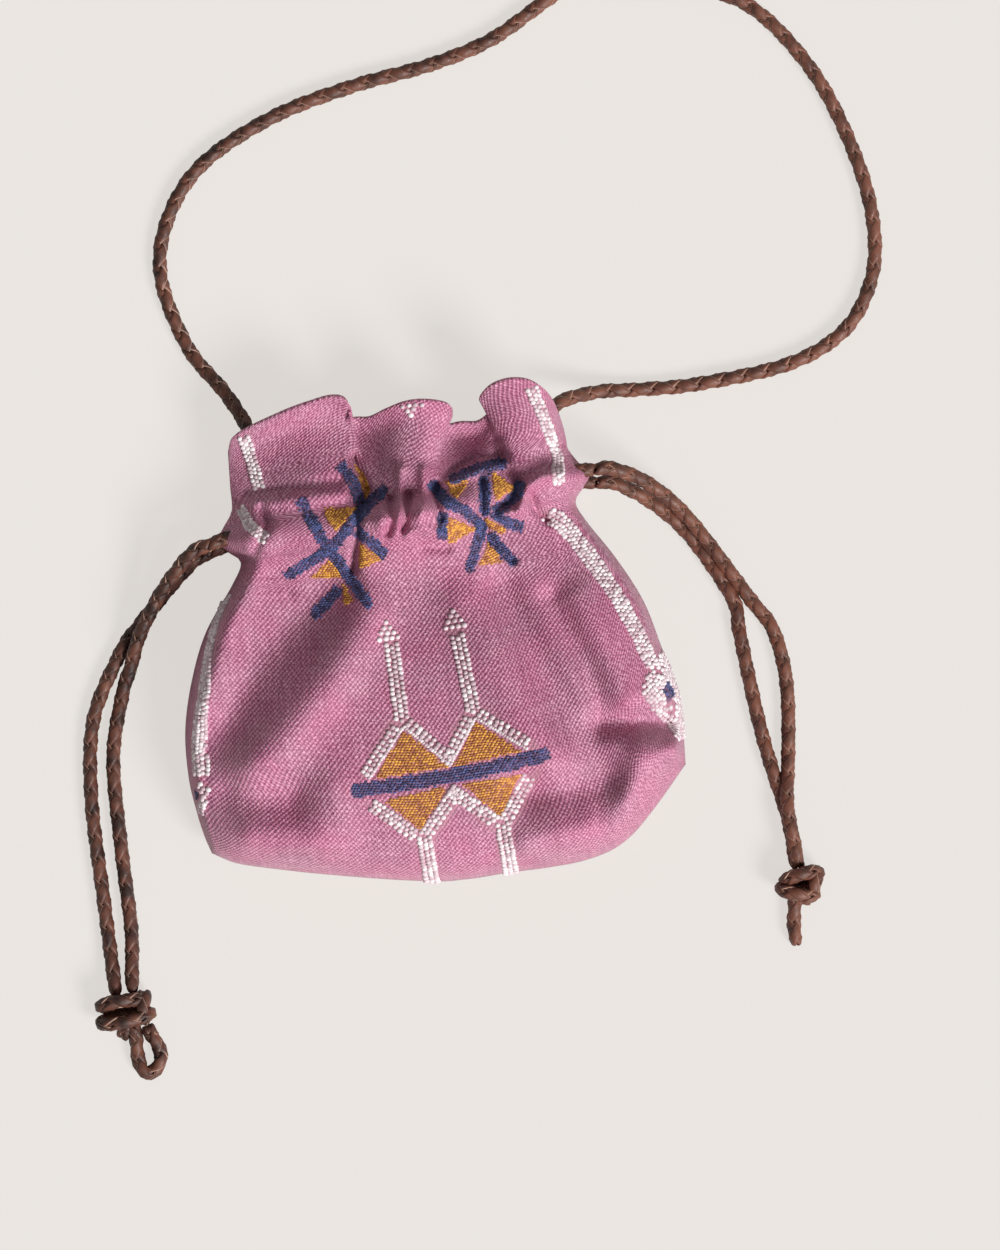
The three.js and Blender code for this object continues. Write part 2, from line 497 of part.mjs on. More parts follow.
// Cord tubes
const roundSection = (radius) => new THREE.Shape(Array.from({ length: CORD_SIDES }, (_, i) => {
  const angle = (2 * Math.PI * i) / CORD_SIDES;
  return new THREE.Vector2(radius * Math.cos(angle), radius * Math.sin(angle));
}));
const route = (points) => new THREE.CatmullRomCurve3(
  points.map((p) => new THREE.Vector3(...p)), false, 'catmullrom', 0.5,
);
const tube = (points, radius) => {
  const path = route(points);
  const steps = Math.ceil(path.getLength() / (2.2 * CORD_DIAMETER));
  return new THREE.ExtrudeGeometry(roundSection(radius), { steps, bevelEnabled: false, extrudePath: path });
};
const ball = (middle, half, turn = 0) => {
  const geometry = new THREE.SphereGeometry(1, CORD_SIDES, 7);
  geometry.scale(...half);
  geometry.rotateZ(turn);
  geometry.translate(...middle);
  return solidOf(geometry);
};
const clearance = (points) => {
  const clear = TUNNEL_RADIUS + 0.05;
  const ends = [points[0], points[points.length - 1]];
  return ends.reduce((solid, p) => solid.add(ball(p, [clear, clear, clear])), solidOf(tube(points, clear)));
};

// Panels with the tunnels for the cords
const frontPanel = between(frontOuter, frontInner)
  .subtract(clearance(FRONT_RUN)).subtract(clearance(STRAP_LEFT)).subtract(clearance(STRAP_RIGHT));
const backPanel = between(backInner, backOuter)
  .subtract(clearance(BACK_RUN)).subtract(clearance(STRAP_LEFT)).subtract(clearance(STRAP_RIGHT));
addSolid('front_panel', largest(frontPanel), cloth);
addSolid('back_panel', largest(backPanel), backCloth);

// Drawstring and strap
addNode('drawstring_front_run', tube(FRONT_RUN, CORD_RADIUS), leather);
addNode('drawstring_back_run', tube(BACK_RUN, CORD_RADIUS), leather);
addNode('left_strand_front', tube(LEFT_FRONT_STRAND, CORD_RADIUS), leather);
addNode('left_strand_back', tube(LEFT_BACK_STRAND, CORD_RADIUS), leather);
addNode('right_strand_front', tube(RIGHT_FRONT_STRAND, CORD_RADIUS), leather);
addNode('right_strand_back', tube(RIGHT_BACK_STRAND, CORD_RADIUS), leather);
addNode('strap_left_run', tube(STRAP_LEFT, CORD_RADIUS), leather);
addNode('strap_right_run', tube(STRAP_RIGHT, CORD_RADIUS), leather);

const coilProfile = [
  [COIL_INNER, COIL_CORNER], [COIL_INNER + COIL_CORNER, 0],
  [COIL_OUTER - COIL_CORNER, 0], [COIL_OUTER, COIL_CORNER],
  [COIL_OUTER, COIL_HEIGHT - COIL_CORNER], [COIL_OUTER - COIL_CORNER, COIL_HEIGHT],
  [COIL_INNER + COIL_CORNER, COIL_HEIGHT], [COIL_INNER, COIL_HEIGHT - COIL_CORNER], [COIL_INNER, COIL_CORNER],
];
const coil = new THREE.LatheGeometry(coilProfile.map((p) => new THREE.Vector2(...p)), 28);
coil.rotateX(Math.PI / 2);
coil.translate(COIL_CENTRE[0], COIL_CENTRE[1], 0);
const coilRing = solidOf(coil).subtract(clearance(STRAP_LEFT)).subtract(clearance(STRAP_RIGHT));
addSolid('strap_coil', largest(coilRing), leather);

const knot = (bands, cord, strands) => {
  const leaving = solidOf(tube(cord, CORD_RADIUS));
  const body = bands.reduce((solid, b) => solid.add(ball(b.middle, b.half, b.turn)), leaving);
  return largest(strands.reduce((solid, s) => solid.subtract(clearance(s)), body));
};
addSolid('left_knot', knot(LEFT_BANDS, LEFT_LOOP, [LEFT_FRONT_STRAND, LEFT_BACK_STRAND]), leather);
addSolid('right_knot', knot(RIGHT_BANDS, RIGHT_TAIL, [RIGHT_FRONT_STRAND, RIGHT_BACK_STRAND]), leather);

// Yarn fields: a thin skin over the front panel, cut to the outlines of the pattern
const skinAt = (lift) => grid(FRONT_COLUMN_STEPS, ROW_STEPS, (c, r) => {
  const n = normalAt(creasedFront, c, r, LAST);
  const [x, y, z] = creasedFront(c, r);
  return [x + lift * n.x, y + lift * n.y, z + SEAM_HALF_GAP + lift * n.z];
});
const skin = between(skinAt(YARN_LIFT + YARN_THICK), skinAt(YARN_LIFT));
const highest = Math.max(...CROWN_HEIGHTS.map((p) => p[1]), ...CASING_Z, ...RUFFLE_EDGE.map((p) => p[2]));
const prism = (outline) => solidOf(new THREE.ExtrudeGeometry(
  new THREE.Shape(outline.map((p) => new THREE.Vector2(...p))), { depth: 2 * highest, bevelEnabled: false },
));
const stroke = (points, width) => {
  const side = (sign) => points.map(([x, y], i) => {
    const [ax, ay] = points[Math.max(0, i - 1)];
    const [bx, by] = points[Math.min(points.length - 1, i + 1)];
    const long = Math.hypot(bx - ax, by - ay);
    return [x - (sign * width * (by - ay)) / (2 * long), y + (sign * width * (bx - ax)) / (2 * long)];
  });
  return prism([...side(1), ...side(-1).reverse()]);
};
const strokes = (list, width) => {
  const [first, ...rest] = list.map((s) => stroke(s, width));
  return rest.reduce((sum, s) => sum.add(s), first);
};
const addYarn = (name, shape, material, most = 1) => {
  const pieces = skin.intersect(shape).decompose().filter((p) => p.volume() > 1.2);
  pieces.sort((a, b) => b.volume() - a.volume());
  pieces.slice(0, most).forEach((piece, i) => {
    addSolid(most > 1 ? `${name}_${i + 1}` : name, piece, material);
  });
};
const room = 2 * (GAP + 0.1);
const barRoom = stroke(BAR, BAR_WIDTH + room);
addYarn('diamond_bar', stroke(BAR, BAR_WIDTH), blueYarn);
addYarn('diamond_upper_outline', prism(UPPER_ZIGZAG).subtract(barRoom), whiteYarn);
addYarn('diamond_lower_outline', prism(LOWER_ZIGZAG).subtract(barRoom), whiteYarn);
ORANGE_TRIANGLES.forEach((t, i) => addYarn(`diamond_field_${i + 1}`, prism(t).subtract(barRoom), orangeYarn));
const leftCrossRoom = strokes(LEFT_CROSS, CROSS_WIDTH + room);
const rightCrossRoom = strokes(RIGHT_CROSS, CROSS_WIDTH + room);
addYarn('left_cross', strokes(LEFT_CROSS, CROSS_WIDTH), blueYarn, 4);
addYarn('right_cross', strokes(RIGHT_CROSS, CROSS_WIDTH), blueYarn, 4);
LEFT_CROSS_ORANGE.forEach((t, i) => {
  addYarn(`left_cross_field_${i + 1}`, prism(t).subtract(leftCrossRoom), orangeYarn);
});
RIGHT_CROSS_ORANGE.forEach((t, i) => {
  addYarn(`right_cross_field_${i + 1}`, prism(t).subtract(rightCrossRoom), orangeYarn);
});
addYarn('left_side_stripe', stroke(LEFT_SIDE_STRIPE, SIDE_STRIPE_WIDTH), whiteYarn);
addYarn('right_side_stripe', stroke(RIGHT_SIDE_STRIPE, SIDE_STRIPE_WIDTH), whiteYarn);
addYarn('left_side_diamond', prism(LEFT_SIDE_DIAMOND), whiteYarn);
addYarn('right_side_diamond', prism(RIGHT_SIDE_DIAMOND), whiteYarn);
addYarn('left_side_dot', prism(LEFT_SIDE_BLUE), blueYarn);
addYarn('right_side_dot', prism(RIGHT_SIDE_BLUE), blueYarn);
addYarn('left_collar_stripe', stroke(LEFT_COLLAR_STRIPE, COLLAR_STRIPE_WIDTH), whiteYarn);
addYarn('right_collar_stripe', stroke(RIGHT_COLLAR_STRIPE, COLLAR_STRIPE_WIDTH), whiteYarn);
addYarn('middle_tab_mark', prism(MIDDLE_TAB_MARK), whiteYarn);

export default pouch;
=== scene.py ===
import math

import bpy
import numpy as np
from mathutils.kdtree import KDTree
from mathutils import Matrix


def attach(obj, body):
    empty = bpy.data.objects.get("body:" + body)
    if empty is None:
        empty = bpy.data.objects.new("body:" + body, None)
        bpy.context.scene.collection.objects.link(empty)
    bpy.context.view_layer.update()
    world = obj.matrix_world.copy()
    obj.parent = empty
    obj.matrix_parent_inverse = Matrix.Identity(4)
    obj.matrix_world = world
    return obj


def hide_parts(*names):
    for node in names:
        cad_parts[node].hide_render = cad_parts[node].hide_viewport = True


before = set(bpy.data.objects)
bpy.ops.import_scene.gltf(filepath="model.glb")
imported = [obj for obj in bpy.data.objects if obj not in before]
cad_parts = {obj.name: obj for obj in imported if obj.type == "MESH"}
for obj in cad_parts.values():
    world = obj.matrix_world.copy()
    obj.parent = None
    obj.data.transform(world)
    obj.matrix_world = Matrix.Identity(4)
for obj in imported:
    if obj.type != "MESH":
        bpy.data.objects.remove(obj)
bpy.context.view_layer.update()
MM = 0.001
RNG = np.random.default_rng(7)

# Camera: straight down on the pouch, turned as the photograph has it
VIEW_TURN = math.radians(10.3)
VIEW_CENTRE = (30.4, -0.9)
VIEW_LEVEL = 20.0
VIEW_DISTANCE = 2000.0
VIEW_TALL = 446.43
camera_data = bpy.data.cameras.new("camera")
camera_data.sensor_width = 36.0
camera_data.lens = 36.0 * VIEW_DISTANCE / VIEW_TALL
camera_data.clip_start = 0.05
camera_data.clip_end = 20.0
camera = bpy.data.objects.new("camera", camera_data)
camera.location = (VIEW_CENTRE[0] * MM, VIEW_CENTRE[1] * MM, (VIEW_LEVEL + VIEW_DISTANCE) * MM)
camera.rotation_euler = (0.0, 0.0, -VIEW_TURN)
bpy.context.scene.collection.objects.link(camera)
bpy.context.scene.camera = camera

# Cord routes in metres, as in the part's source;
# the right strands meet above their knot, as the photograph has them
LEFT_FRONT_STRAND = [
    (-0.0664, 0.04573, 0.02256), (-0.0722, 0.0446, 0.0219), (-0.079, 0.0396, 0.0188), (-0.088, 0.031, 0.0136),
    (-0.0976, 0.0186, 0.0088), (-0.1032, 0.0076, 0.005), (-0.1078, -0.001, 0.0026), (-0.1153, -0.0234, 0.0026),
    (-0.1182, -0.0555, 0.0026), (-0.1198, -0.0843, 0.0028), (-0.1224, -0.101, 0.0052), (-0.1232, -0.1075, 0.0062),
]
LEFT_BACK_STRAND = [
    (-0.0664, 0.0433, 0.01462), (-0.0722, 0.0418, 0.0144), (-0.08, 0.0366, 0.0104), (-0.09, 0.0286, 0.0046),
    (-0.0986, 0.0212, 0.0026), (-0.106, 0.0136, 0.0026), (-0.1197, -0.0081, 0.0026), (-0.1256, -0.036, 0.0026),
    (-0.1277, -0.0719, 0.0026), (-0.1286, -0.09, 0.003), (-0.129, -0.101, 0.0052), (-0.1292, -0.1075, 0.0062),
]
RIGHT_FRONT_STRAND = [
    (0.0744, 0.04756, 0.02265), (0.08, 0.0468, 0.0218), (0.092, 0.0392, 0.0145), (0.1042, 0.0242, 0.0072),
    (0.1207, -0.0077, 0.003), (0.1264, -0.0187, 0.0026), (0.1283, -0.0318, 0.0026),
    (0.1278, -0.0442, 0.0026), (0.1256, -0.0581, 0.0026), (0.1232, -0.0701, 0.003),
    (0.121, -0.0795, 0.0055), (0.1202, -0.0877, 0.0072), (0.1204, -0.0976, 0.0072),
    (0.1202, -0.1059, 0.007),
]
RIGHT_BACK_STRAND = [
    (0.0744, 0.04292, 0.01482), (0.0802, 0.0416, 0.0146), (0.092, 0.0326, 0.0072), (0.1035, 0.0182, 0.003),
    (0.1144, -0.0062, 0.0026), (0.1148, -0.018, 0.0026), (0.1152, -0.0349, 0.0026),
    (0.116, -0.0534, 0.0026), (0.1174, -0.0679, 0.0026), (0.119, -0.0792, 0.0026), (0.12, -0.0878, 0.0026),
    (0.1201, -0.0977, 0.0028), (0.1196, -0.106, 0.0036),
]
STRAP_LEFT = [
    (-0.0478, 0.0600, 0.0180), (-0.0478, 0.0665, 0.0182), (-0.047, 0.076, 0.018), (-0.046, 0.0845, 0.0164),
    (-0.052, 0.099, 0.009), (-0.0624, 0.1177, 0.0027), (-0.0674, 0.144, 0.0026), (-0.0611, 0.1646, 0.0026),
    (-0.0453, 0.1817, 0.0026), (-0.0177, 0.1937, 0.0026), (0.0124, 0.1995, 0.0026), (0.0419, 0.2022, 0.0026),
    (0.0646, 0.2071, 0.0026), (0.0844, 0.2162, 0.0026), (0.103, 0.2246, 0.0026), (0.112, 0.2274, 0.0026),
]
STRAP_RIGHT = [
    (0.0614, 0.0565, 0.0202), (0.0606, 0.062, 0.0198), (0.061, 0.069, 0.0184), (0.0664, 0.074, 0.0144),
    (0.0805, 0.0753, 0.0056), (0.095, 0.0736, 0.0026), (0.1162, 0.0718, 0.0026), (0.1491, 0.073, 0.0026),
    (0.1705, 0.0808, 0.0026), (0.1828, 0.0949, 0.0026), (0.1881, 0.1121, 0.0026), (0.1877, 0.1357, 0.0026),
    (0.1805, 0.1661, 0.0026), (0.17, 0.1879, 0.0026), (0.1582, 0.2028, 0.0027), (0.144, 0.2115, 0.0042),
    (0.124, 0.2225, 0.008), (0.112, 0.234, 0.008),
]
COIL_CENTRE = (0.1296, 0.2552)
COIL_TURNS = 3.98
COIL_START_ANGLE = -122.3
FRONT_RUN = [
    (-0.066, 0.0458, 0.0226), (-0.058, 0.0472, 0.0234), (-0.0517, 0.0468, 0.0252), (-0.044, 0.0466, 0.0276),
    (-0.03, 0.0466, 0.0304), (0.0, 0.0466, 0.0302), (0.026, 0.0466, 0.029), (0.045, 0.0466, 0.0288),
    (0.057, 0.0471, 0.0271), (0.0633, 0.0478, 0.025), (0.068, 0.0482, 0.0234), (0.074, 0.0476, 0.0227),
]
BACK_RUN = [
    (-0.066, 0.0434, 0.0146), (-0.058, 0.0454, 0.0142), (-0.05, 0.0464, 0.0088), (-0.042, 0.0466, 0.005),
    (-0.03, 0.0466, 0.0044), (0.0, 0.0466, 0.0044), (0.038, 0.0466, 0.0044), (0.05, 0.0464, 0.005),
    (0.058, 0.0458, 0.009), (0.066, 0.0446, 0.0142), (0.074, 0.043, 0.0148),
]


# Smooth line through points, at even steps
def smooth_line(points, step, closed=False):
    p = np.array(points, float)
    if closed:
        ext = np.vstack([p[-1], p, p[0], p[1]])
    else:
        ext = np.vstack([2 * p[0] - p[1], p, 2 * p[-1] - p[-2]])
    dense = []
    spans = len(ext) - 3
    f = np.linspace(0, 1, 40, endpoint=False)[:, None]
    for i in range(spans):
        a, b, c, d = ext[i:i + 4]
        square, cube = 2 * a - 5 * b + 4 * c - d, 3 * b - a - 3 * c + d
        dense.append(0.5 * (2 * b + (c - a) * f + square * f ** 2 + cube * f ** 3))
    dense.append(ext[-2][None])
    dense = np.vstack(dense)
    s = np.r_[0, np.cumsum(np.linalg.norm(np.diff(dense, axis=0), axis=1))]
    n = max(6, int(round(s[-1] / step)))
    at = np.linspace(0, s[-1], n + 1)
    if closed:
        at = at[:-1]
    return np.stack([np.interp(at, s, dense[:, i]) for i in range(3)], axis=1)


# Axes that follow a line without twisting
def line_axes(p, closed=False):
    if closed:
        t = np.roll(p, -1, axis=0) - np.roll(p, 1, axis=0)
    else:
        t = np.gradient(p, axis=0)
    t /= np.linalg.norm(t, axis=1)[:, None]
    n = np.zeros_like(p)
    up = np.array([0.0, 0.0, 1.0])
    if abs(t[0] @ up) > 0.9:
        up = np.array([1.0, 0.0, 0.0])
    v = up
    for i in range(len(p)):
        v = v - (v @ t[i]) * t[i]
        v = v / np.linalg.norm(v)
        n[i] = v
    return t, n, np.cross(t, n)


def mesh_object(name, vertices, faces, material, smooth=True):
    mesh = bpy.data.meshes.new(name)
    mesh.from_pydata([tuple(v) for v in vertices], [], faces)
    mesh.materials.append(material)
    if smooth:
        mesh.polygons.foreach_set("use_smooth", [True] * len(mesh.polygons))
    obj = bpy.data.objects.new(name, mesh)
    bpy.context.scene.collection.objects.link(obj)
    return obj


def add_values(obj, name, values):
    attribute = obj.data.attributes.new(name, "FLOAT", "POINT")
    attribute.data.foreach_set("value", np.asarray(values, np.float32))


# Node helpers
def new_material(name):
    material = bpy.data.materials.new(name)
    material.use_nodes = True
    tree = material.node_tree
    shader = next(n for n in tree.nodes if n.type == "BSDF_PRINCIPLED")
    return material, tree, shader


def node(tree, kind, inputs=None, **settings):
    made = tree.nodes.new(kind)
    for key, value in settings.items():
        setattr(made, key, value)
    for key, value in (inputs or {}).items():
        if isinstance(value, bpy.types.NodeSocket):
            tree.links.new(value, made.inputs[key])
        else:
            made.inputs[key].default_value = value
    return made


def noise(tree, place, scale, detail):
    return node(tree, "ShaderNodeTexNoise", {"Vector": place, "Scale": scale, "Detail": detail}).outputs["Fac"]


def attribute(tree, name):
    return node(tree, "ShaderNodeAttribute", attribute_name=name).outputs["Fac"]


def math_node(tree, operation, a, b=None):
    inputs = {0: a}
    if b is not None:
        inputs[1] = b
    return node(tree, "ShaderNodeMath", inputs, operation=operation).outputs[0]


def blend_colours(tree, factor, a, b, mode="MIX"):
    made = node(tree, "ShaderNodeMix", None, data_type="RGBA", blend_type=mode)
    for socket, value in ((made.inputs[0], factor), (made.inputs[6], a), (made.inputs[7], b)):
        if isinstance(value, bpy.types.NodeSocket):
            tree.links.new(value, socket)
        else:
            socket.default_value = value if not isinstance(value, tuple) or len(value) == 4 else (*value, 1.0)
    return made.outputs[2]


def range_node(tree, value, low, high, to_low=0.0, to_high=1.0):
    made = node(tree, "ShaderNodeMapRange", {0: value, 1: low, 2: high, 3: to_low, 4: to_high})
    return made.outputs[0]


# Leather of the braid: brown faces, pale cut edges on each strand, and painted light that makes the cord paler
# towards the right
def leather_material():
    material, tree, shader = new_material("braided_leather")
    edge = attribute(tree, "strand_edge")
    place = node(tree, "ShaderNodeTexCoord").outputs["Object"]
    blotch = noise(tree, place, 160.0, 4.0)
    fine = noise(tree, place, 1500.0, 3.0)
    x = node(tree, "ShaderNodeSeparateXYZ", {0: place}).outputs[0]
    # Painted light: the leather grows paler from left to right across the scene, standing in for light falling from
    # the right
    painted_light_rightwards = range_node(tree, x, -0.1, 0.12, -0.12, 0.3)
    tone = math_node(tree, "ADD", range_node(tree, blotch, 0.32, 0.68), painted_light_rightwards)
    brown = blend_colours(tree, tone, (0.026, 0.008, 0.005), (0.17, 0.058, 0.034))
    rubbed = range_node(tree, blotch, 0.25, 0.6, 0.25, 1.0)
    worn = math_node(tree, "MULTIPLY", range_node(tree, edge, 0.74, 0.92), rubbed)
    colour = blend_colours(tree, worn, brown, (0.46, 0.29, 0.22))
    tree.links.new(colour, shader.inputs["Base Color"])
    tree.links.new(range_node(tree, fine, 0.3, 0.7, 0.46, 0.68), shader.inputs["Roughness"])
    bump = node(tree, "ShaderNodeBump", {"Strength": 0.35, "Distance": 0.0002, "Height": fine})
    tree.links.new(bump.outputs[0], shader.inputs["Normal"])
    return material


LEATHER = leather_material()
BRAID_PITCH = 0.0166
BRAID_RADIUS = 0.00204
BRAID_RISE = 0.00027
STRAND_HALF = 0.00256
STRAND_THICK = 0.00052
CORE_RADIUS = 0.00176


# Round braid of four flat strands, two each way, over one and under one
def braid_mesh(lines, step=0.0009, sides=8):
    vertices, faces, edge = [], [], []
    count = 0
    for points, closed in lines:
        p = smooth_line(points, step, closed)
        t, n, b = line_axes(p, closed)
        s = np.r_[0, np.cumsum(np.linalg.norm(np.diff(p, axis=0), axis=1))]
        pitch = BRAID_PITCH
        if closed:
            whole = s[-1] + np.linalg.norm(p[0] - p[-1])
            pitch = whole / max(1, round(whole / BRAID_PITCH))
        turn = 2 * math.pi * s / pitch
        rings = len(p)
        left = np.ones(rings) if closed else np.clip((s[-1] - s) / 0.0024, 0.02, 1)
        taper = np.sqrt(left * (2 - left))[:, None]
        for i in range(4):
            way = 1.0 if i < 2 else -1.0
            phi = way * turn + math.pi * (i % 2)
            out = np.cos(phi)[:, None] * n + np.sin(phi)[:, None] * b
            reach = BRAID_RADIUS + way * BRAID_RISE * np.cos(2 * turn)
            middle = p + reach[:, None] * out
            if closed:
                along = np.roll(middle, -1, axis=0) - np.roll(middle, 1, axis=0)
            else:
                along = np.gradient(middle, axis=0)
            side = np.cross(along, out)
            side /= np.linalg.norm(side, axis=1)[:, None]
            for j in range(sides):
                a = 2 * math.pi * (j + 0.5) / sides
                w = STRAND_HALF * math.copysign(abs(math.cos(a)) ** 0.8, math.cos(a))
                h = STRAND_THICK * math.copysign(abs(math.sin(a)) ** 0.8, math.sin(a))
                spread = middle + w * side - p
                lengthwise = (spread * t).sum(axis=1)[:, None] * t
                around = spread - lengthwise
                around /= np.linalg.norm(around, axis=1)[:, None]
                vertices.append(p + taper * (lengthwise + around * (reach + h)[:, None]))
                edge.append(np.full(rings, max(0.0, way * math.cos(a))))
            order = np.arange(rings * sides).reshape(sides, rings) + count
            stop = rings if closed else rings - 1
            for j in range(sides):
                k = (j + 1) % sides
                r = np.arange(stop)
                q = (r + 1) % rings
                faces += np.stack([order[j][r], order[j][q], order[k][q], order[k][r]], axis=1).tolist()
            if not closed:
                faces.append(order[:, 0].tolist())
                faces.append(order[::-1, -1].tolist())
            count += rings * sides
        for j in range(sides):
            a = 2 * math.pi * j / sides
            vertices.append(p + taper * CORE_RADIUS * (math.cos(a) * n + math.sin(a) * b))
            edge.append(np.zeros(rings))
        order = np.arange(rings * sides).reshape(sides, rings) + count
        r = np.arange(stop)
        q = (r + 1) % rings
        for j in range(sides):
            k = (j + 1) % sides
            faces += np.stack([order[j][r], order[j][q], order[k][q], order[k][r]], axis=1).tolist()
        if not closed:
            faces.append(order[:, 0].tolist())
            faces.append(order[::-1, -1].tolist())
        count += rings * sides
    return np.vstack(vertices), faces, np.concatenate(edge)


def braid(name, lines, step=0.0009):
    vertices, faces, edge = braid_mesh(lines, step)
    vertices[:, 2] = np.maximum(vertices[:, 2], 0.00005)
    obj = mesh_object(name, vertices, faces, LEATHER)
    add_values(obj, "strand_edge", edge)
    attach(obj, "root")
    return obj


def line_length(points):
    p = smooth_line(points, 0.001)
    return float(np.linalg.norm(np.diff(p, axis=0), axis=1).sum())


# Strap: left run, flat coil past the top of the view, right run
def strap_route():
    angle = np.radians(COIL_START_ANGLE + np.linspace(0.03, COIL_TURNS, 110) * 360)
    turn = np.linspace(0.03, COIL_TURNS, 110)
    radius = np.where(turn < 2, 0.0322 - 0.0045 * turn, 0.0232 + 0.0024 * (turn - 2))
    height = 0.0026 + 0.0052 * np.clip((turn - 1.75) / 0.4, 0, 1)
    x, y = COIL_CENTRE[0] + radius * np.cos(angle), COIL_CENTRE[1] + radius * np.sin(angle)
    coil = np.stack([x, y, height], axis=1)
    return STRAP_LEFT[:-1] + [tuple(p) for p in coil] + STRAP_RIGHT[-2::-1]


strap_line = strap_route()
strap = braid("strap", [(strap_line, False)], 0.001)
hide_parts("strap_left_run", "strap_right_run", "strap_coil")
line_length(strap_line)
smooth_line(strap_line, 0.002).tolist()


# Knots: wraps of cord round the strands, with a loop on the left and a tail on the right
def wrap(middle, half_x, half_z, turn, lean=0.0):
    a = np.linspace(0, 2 * math.pi, 14, endpoint=False)
    x = half_x * np.cos(a)
    z = half_z * np.sin(a)
    y = lean * np.sin(a)
    c, s = math.cos(turn), math.sin(turn)
    return [(middle[0] + c * i - s * j, middle[1] + s * i + c * j, middle[2] + k) for i, j, k in zip(x, y, z)]


LEFT_LOOP = [
    (-0.125, -0.1193, 0.005), (-0.125, -0.123, 0.004), (-0.1256, -0.1281, 0.0028),
    (-0.1255, -0.1336, 0.0026), (-0.1236, -0.1369, 0.0026), (-0.1201, -0.1361, 0.0026),
    (-0.1176, -0.1321, 0.0026), (-0.1179, -0.1277, 0.0028), (-0.1196, -0.1233, 0.0038),
    (-0.1204, -0.1201, 0.005),
]
LEFT_NUB = [(-0.1262, -0.1184, 0.005), (-0.1288, -0.1208, 0.0038), (-0.1304, -0.1228, 0.003)]
RIGHT_NUB = [(0.1192, -0.1155, 0.005), (0.1212, -0.1176, 0.0042), (0.1226, -0.119, 0.0036)]
RIGHT_TAIL = [(0.1181, -0.113, 0.005), (0.1164, -0.1208, 0.003), (0.1152, -0.1265, 0.0026), (0.1149, -0.1334, 0.0026)]
left_knot = braid("left_knot_cord", [
    (wrap((-0.1278, -0.1104, 0.0066), 0.0072, 0.0036, -0.03, 0.001), True),
    (wrap((-0.1272, -0.1159, 0.0068), 0.0086, 0.0036, 0.02, -0.001), True),
    (wrap((-0.1204, -0.1134, 0.0056), 0.0044, 0.003, 1.35), True),
    (LEFT_NUB, False), (LEFT_LOOP, False),
])
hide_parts("left_knot")
right_knot = braid("right_knot_cord", [
    (wrap((0.1206, -0.1092, 0.0068), 0.0056, 0.0036, 0.1, 0.001), True),
    (wrap((0.1186, -0.1142, 0.007), 0.0058, 0.0036, -0.36, -0.001), True),
    (wrap((0.1252, -0.1122, 0.006), 0.0036, 0.003, 1.1), True),
    (RIGHT_NUB, False), (RIGHT_TAIL, False),
])
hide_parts("right_knot")

# Free strands from the casing to the knots
for name, points, knot in (
    ("left_strand_front", LEFT_FRONT_STRAND, left_knot), ("left_strand_back", LEFT_BACK_STRAND, left_knot),
    ("right_strand_front", RIGHT_FRONT_STRAND, right_knot), ("right_strand_back", RIGHT_BACK_STRAND, right_knot),
):
    strand = braid(name + "_cord", [(points, False)])
    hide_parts(name)
    line_length(points)
    smooth_line(points, 0.002).tolist()
for name, points in (("drawstring_front_run", FRONT_RUN), ("drawstring_back_run", BACK_RUN)):
    run = braid(name + "_cord", [(points, False)], 0.0014)
    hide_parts(name)

# Pouch sizes in millimetres: the plan is the part's, the swell
# and the ruffle's heights follow the shading of the photograph
WALL = 1.5
SEAM_HALF_GAP = 0.15
SEAM_HEIGHT_BOTTOM = 10
SEAM_HEIGHT_NECK = 17
SEAM_HEIGHT_EAR = 19
CROWN_HEIGHTS = [(0, 41), (0.3, 45), (0.45, 44.5), (0.65, 41.5), (0.8, 37), (0.9, 34), (1, 33.5)]
BELLY_TOP_Y = 30
RIM_PART = 0.24
SIDE_POWER = 3.2
RIM_POWER = 2.2
BACK_FLAT = 1.3
CASING_Y = 46.6
LEFT_SIDE = [
    (-63, -86), (-56, -87.7), (-44, -89), (-34, -89.3), (-20, -87.9), (-8, -84.6),
    (4, -79.9), (16, -73.4), (22, -69), (30, -61.5),
]
RIGHT_SIDE = [
    (-62, 87), (-50, 88.4), (-38, 89.3), (-26, 87.4), (-14, 85), (-2, 82.8),
    (10, 78.1), (22, 72.2), (30, 67.5),
]
BOTTOM_EDGE = [
    (-86, -63), (-78, -68.5), (-53, -76.2), (-29, -82.7), (-5, -88.3), (19, -89),
    (43, -90), (55, -88.1), (61, -86), (73, -76), (80, -69), (87, -62),
]
CASING_X = np.array([
    -63.6, -58.2, -51.7, -44.4, -37.2, -29.9, -22.7, -15.4, -9.6, -7.4, -4.9, -2.7, -0.2, 2.7, 5.6,
    8.5, 11.4, 14.7, 19.8, 26.6, 35.3, 43.7, 49.8, 53.5, 57.1, 60.4, 63.3, 66.2, 69.1, 71.6,
])
CASING_Z = np.array([
    19, 27, 32, 35, 37, 38, 38, 37.5, 36.5, 36, 36, 36.5, 37.5, 38, 38,
    38, 37.5, 37, 36, 35.5, 35.5, 36, 36, 35.5, 34.5, 33, 31.5, 29.5, 26, 19,
])
RUFFLE_EDGE = np.array([
    (-54.1, 77.3, 22), (-51.5, 81.9, 27), (-44.9, 84.3, 33), (-36.6, 86.1, 38), (-29, 87.6, 42),
    (-21.6, 88.7, 44), (-14.3, 89.4, 44), (-9.8, 87.8, 41), (-7.8, 83.9, 34), (-9.9, 80.9, 28),
    (-7.3, 81.1, 25), (-2.8, 80.3, 27), (3.3, 81.8, 33), (9.3, 82.8, 39), (15.8, 82.6, 42),
    (22.7, 80.9, 42), (27.2, 78.5, 38), (27, 75, 31), (25.2, 72.7, 26), (29.9, 72.2, 24.5),
    (35.5, 71.4, 24.5), (39.3, 74.2, 28), (37.4, 79.5, 34), (41.7, 83.1, 41), (48.7, 84.2, 45),
    (55.7, 82.6, 45), (60.5, 79, 41), (63.3, 74.1, 35), (64.6, 69, 28), (65.3, 64, 22),
])
